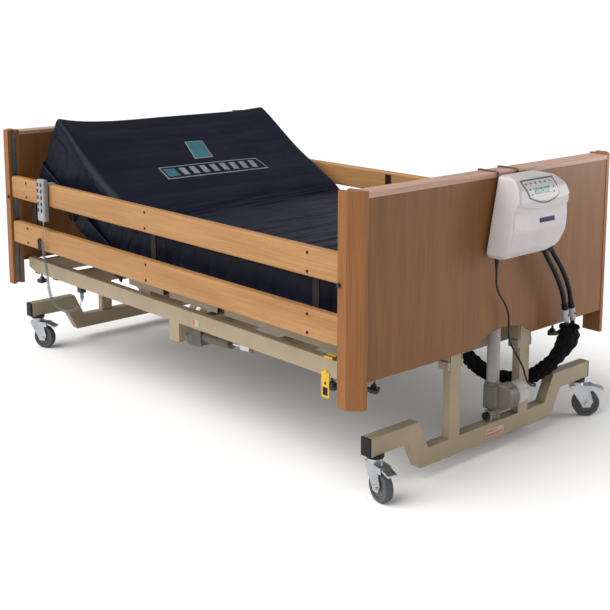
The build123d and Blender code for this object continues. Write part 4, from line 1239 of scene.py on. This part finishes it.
# ---------------------------------------------------------------- lift and actuator details
def lift_details():
    """Each lift's rounded gearbox, with its cover ribs, screws, collars and a round label."""
    for end, body in ((1, "foot_base"), (-1, "head_base")):
        name = body.split("_")[0]
        bm = bmesh.new()
        inner, outer = sorted((end * 1026, end * 1092))
        add_block(bm, (inner, 20, 152), (outer, 74, 241), 15, 5)
        for number in range(7):
            y = 31.5 + 7 * number
            add_turned(
                bm, at(end * 1100, y, 202), (0, 1, 0), [(0, 43.6), (0.6, 44.6), (2.6, 44.6), (3.2, 43.6)],
                56
            )
        for angle in (35, 145, 215, 325):
            x = 1100 + 31 * math.cos(math.radians(angle))
            z = 202 + 31 * math.sin(math.radians(angle))
            add_turned(bm, at(end * x, 28.2, z), (0, -1, 0), [(0, 4), (1.2, 3.8), (1.6, 3)], 16)
        add_turned(bm, at(end * 1054, 40, 236), (0, 0, 1), [(0, 27), (6, 27), (9, 24), (12, 23.2)], 40)
        add_turned(bm, at(end * 1054, 40, 600), (0, 0, 1), [(0, 22.6), (1, 23.4), (11, 23.4), (12, 20)], 40)
        formed(f"{name}_lift_gearbox", bm, "actuator_grey", body, "actuator")
        bm = bmesh.new()
        add_turned(
            bm, at(end * 1100, 84, 202), (0, 1, 0),
            [(0, 39.5), (6, 39.5), (7, 38.4), (50, 38.4), (56, 36), (58.5, 30)], 48
        )
        formed(f"{name}_lift_motor", bm, "actuator_grey", body, "can")
        bm = bmesh.new()
        add_turned(bm, at(end * 1091.6, 44, 178), (end, 0, 0), [(0, 11), (0.9, 11)], 32)
        formed(f"{name}_lift_label", bm, "actuator_grey", body, "sticker")
        bm = bmesh.new()
        add_turned(bm, at(end * 1092.2, 44, 178), (end, 0, 0), [(0, 8), (0.8, 8)], 32)
        formed(f"{name}_lift_label_disc", bm, "actuator_grey", body, "sticker_red")
        bm = bmesh.new()
        add_turned(bm, at(end * 1091.6, 50, 216), (end, 0, 0), [(0, 4.2), (0.9, 4.2), (1.0, 2.4)], 20)
        formed(f"{name}_lift_screw", bm, "actuator_grey", body, "black")


def wheel_caps():
    """A pressed hub with spokes and a cap on both sides of each wheel."""
    for corner in CORNERS:
        low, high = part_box(f"caster_wheel_{corner}")
        centre = (low + high) / 2
        joint = next(j for j in frame["joints"] if j["name"] == f"wheel_{corner}_spin")
        axle = Vector(joint["axis"]).normalized()
        bm = bmesh.new()
        for side in (-1, 1):
            out = axle * side
            start = centre + out * 0.0105
            add_turned(
                bm, start, out, [(0, 34), (1.2, 34), (2.2, 32.5), (2.4, 16), (4.4, 14.5), (4.6, 9.5)], 48
            )
            across = out.orthogonal().normalized()
            for spoke in range(6):
                arm = Matrix.Rotation(math.tau * spoke / 6, 4, out) @ across
                add_turned(bm, start + out * 0.0018 + arm * 0.013, arm, [(0, 2.4), (19.5, 1.7)], 12)
        name = f"wheel_hubs_{corner}"
        formed(name, bm, "tyre_grey", f"wheel_{corner}", "hub")


def plates(name, slot, body, material, blocks):
    """Thin rounded plates joined as one piece; each is its low corner, high corner and rounding."""
    bm = bmesh.new()
    for low, high, rounding in blocks:
        add_block(bm, low, high, rounding, 2)
    formed(name, bm, slot, body, material)


def small_details():
    """Tags, stickers and clips on the frame."""
    plates("frame_tag", "black_plastic", "bed_frame", "tag", [
        ((882, -602.2, 300), (918, -601.2, 384), PLATE_ROUND),
        ((893, -603, 378), (907, -600, 392), 1),
    ])
    plates("frame_tag_print", "black_plastic", "bed_frame", "black", [
        ((889, -603.2, 308), (911, -602, 334), PLATE_ROUND),
        ((896, -603.2, 344), (904, -602, 352), PLATE_ROUND),
    ])
    bm = bmesh.new()
    lead_profile = [(0, 3), (1, 4), (38, 4), (39, 3)]
    for number, y in enumerate((-602, -588, -574)):
        add_turned(bm, at(896 + 3 * number, y, 434 + 5 * (number % 2)), (1, 0, 0.05), lead_profile, 16)
    formed("earth_leads", bm, "black_plastic", "bed_frame", "tag")
    plates("beam_sticker", "frame_cream", "bed_frame", "sticker", [
        ((196, -601.4, 382), (238, -600.2, 408), PLATE_ROUND),
    ])
    plates("beam_sticker_mark", "frame_cream", "bed_frame", "sticker_red", [
        ((199, -601.9, 385), (214, -600.8, 405), PLATE_ROUND),
    ])
    plates("base_sticker", "frame_cream", "foot_base", "sticker", [
        ((1076.6, -18, 62), (1077.6, 78, 88), PLATE_ROUND),
    ])
    plates("base_sticker_mark", "frame_cream", "foot_base", "sticker_red", [
        ((1077.1, -14, 65), (1078.0, 74, 72), PLATE_ROUND),
        ((1077.1, -14, 78), (1078.0, 40, 84), PLATE_ROUND),
    ])
    bm = bmesh.new()
    add_block(bm, (-801, -663, 503), (-773, -655.5, 532), 3, 3)

    def place(along, up, out):
        return at(-787 + along, -659.5 + out, 540 + up)

    add_ring(bm, place, 11, 3.2)
    formed("cord_clip", bm, "black_plastic", "near_rail", "black")


# ---------------------------------------------------------------- room, lights and camera
def studio():
    """A plain pale floor under a broad soft light, strongest from the side with the handset."""
    bm = bmesh.new()
    for x, y in ((-2500, -2500), (2500, -2500), (2500, 2500), (-2500, 2500)):
        bm.verts.new((x, y, 0))
    bm.faces.new(bm.verts[:])
    mesh = bpy.data.meshes.new("floor")
    bm.to_mesh(mesh)
    bm.free()
    floor = bpy.data.objects.new("floor", mesh)
    bpy.context.scene.collection.objects.link(floor)
    finish = Finish("floor_pale", Specular_IOR_Level=0.1)
    finish.colour(
        finish.ramp(finish.noise(0.8, 2.0, 0.5), (0.3, (0.87, 0.87, 0.87)), (0.7, (0.89, 0.89, 0.89)))
    )
    finish.shader.inputs["Roughness"].default_value = 0.9
    mesh.materials.append(finish.material)
    world = bpy.data.worlds.new("studio")
    bpy.context.scene.world = world
    world.use_nodes = True
    background = world.node_tree.nodes["Background"]
    background.inputs["Color"].default_value = (1.0, 1.0, 1.0, 1)
    background.inputs["Strength"].default_value = 0.36
    soft_sun("key", (0.20, 0.64, -0.74), 3.75, 64)
    area_light("fill", (2.3, 2.3, 1.1), (1.0, 0.6, 0.6), (1.0, 1.0), 26)


def soft_sun(name, heading, power, spread):
    """A very broad far light that shines along a heading."""
    data = bpy.data.lights.new(name, "SUN")
    data.energy = power
    data.angle = math.radians(spread)
    lamp = bpy.data.objects.new(name, data)
    bpy.context.scene.collection.objects.link(lamp)
    lamp.rotation_mode = "QUATERNION"
    lamp.rotation_quaternion = Vector(heading).to_track_quat("-Z", "Y")


def area_light(name, place, target, size, power):
    """A rectangular soft light that looks at a point."""
    data = bpy.data.lights.new(name, "AREA")
    data.shape = "RECTANGLE"
    data.size, data.size_y = size
    data.energy = power
    lamp = bpy.data.objects.new(name, data)
    bpy.context.scene.collection.objects.link(lamp)
    lamp.location = place
    lamp.rotation_mode = "QUATERNION"
    lamp.rotation_quaternion = (Vector(target) - Vector(place)).to_track_quat("-Z", "Y")


def camera():
    """A long lens from above the foot end's near corner, shifted down so that uprights stay upright."""
    data = bpy.data.cameras.new("camera")
    data.sensor_width = 36
    data.lens = 67.16
    data.shift_y = -0.1885
    data.clip_end = 5000
    eye = bpy.data.objects.new("camera", data)
    bpy.context.scene.collection.objects.link(eye)
    turn, tilt = math.radians(48.083), math.radians(9.573)
    look = Vector((-math.sin(turn) * math.cos(tilt), math.cos(turn) * math.cos(tilt), -math.sin(tilt)))
    eye.location = at(3407, -2938, 1541)
    eye.rotation_mode = "QUATERNION"
    eye.rotation_quaternion = look.to_track_quat("-Z", "Y")
    bpy.context.scene.camera = eye


camera()
paint_nodes()
mains_lead()
air_hoses()
hose_block()
hose_sleeve()
handset_cord()
back_cover = mattress()
cover_patches(back_cover)
retainer(-1, "mattress_loop_near")
retainer(1, "mattress_loop_far")
pump()
handset()
lift_details()
wheel_caps()
small_details()
studio()
bpy.context.scene.view_settings.view_transform = "Standard"
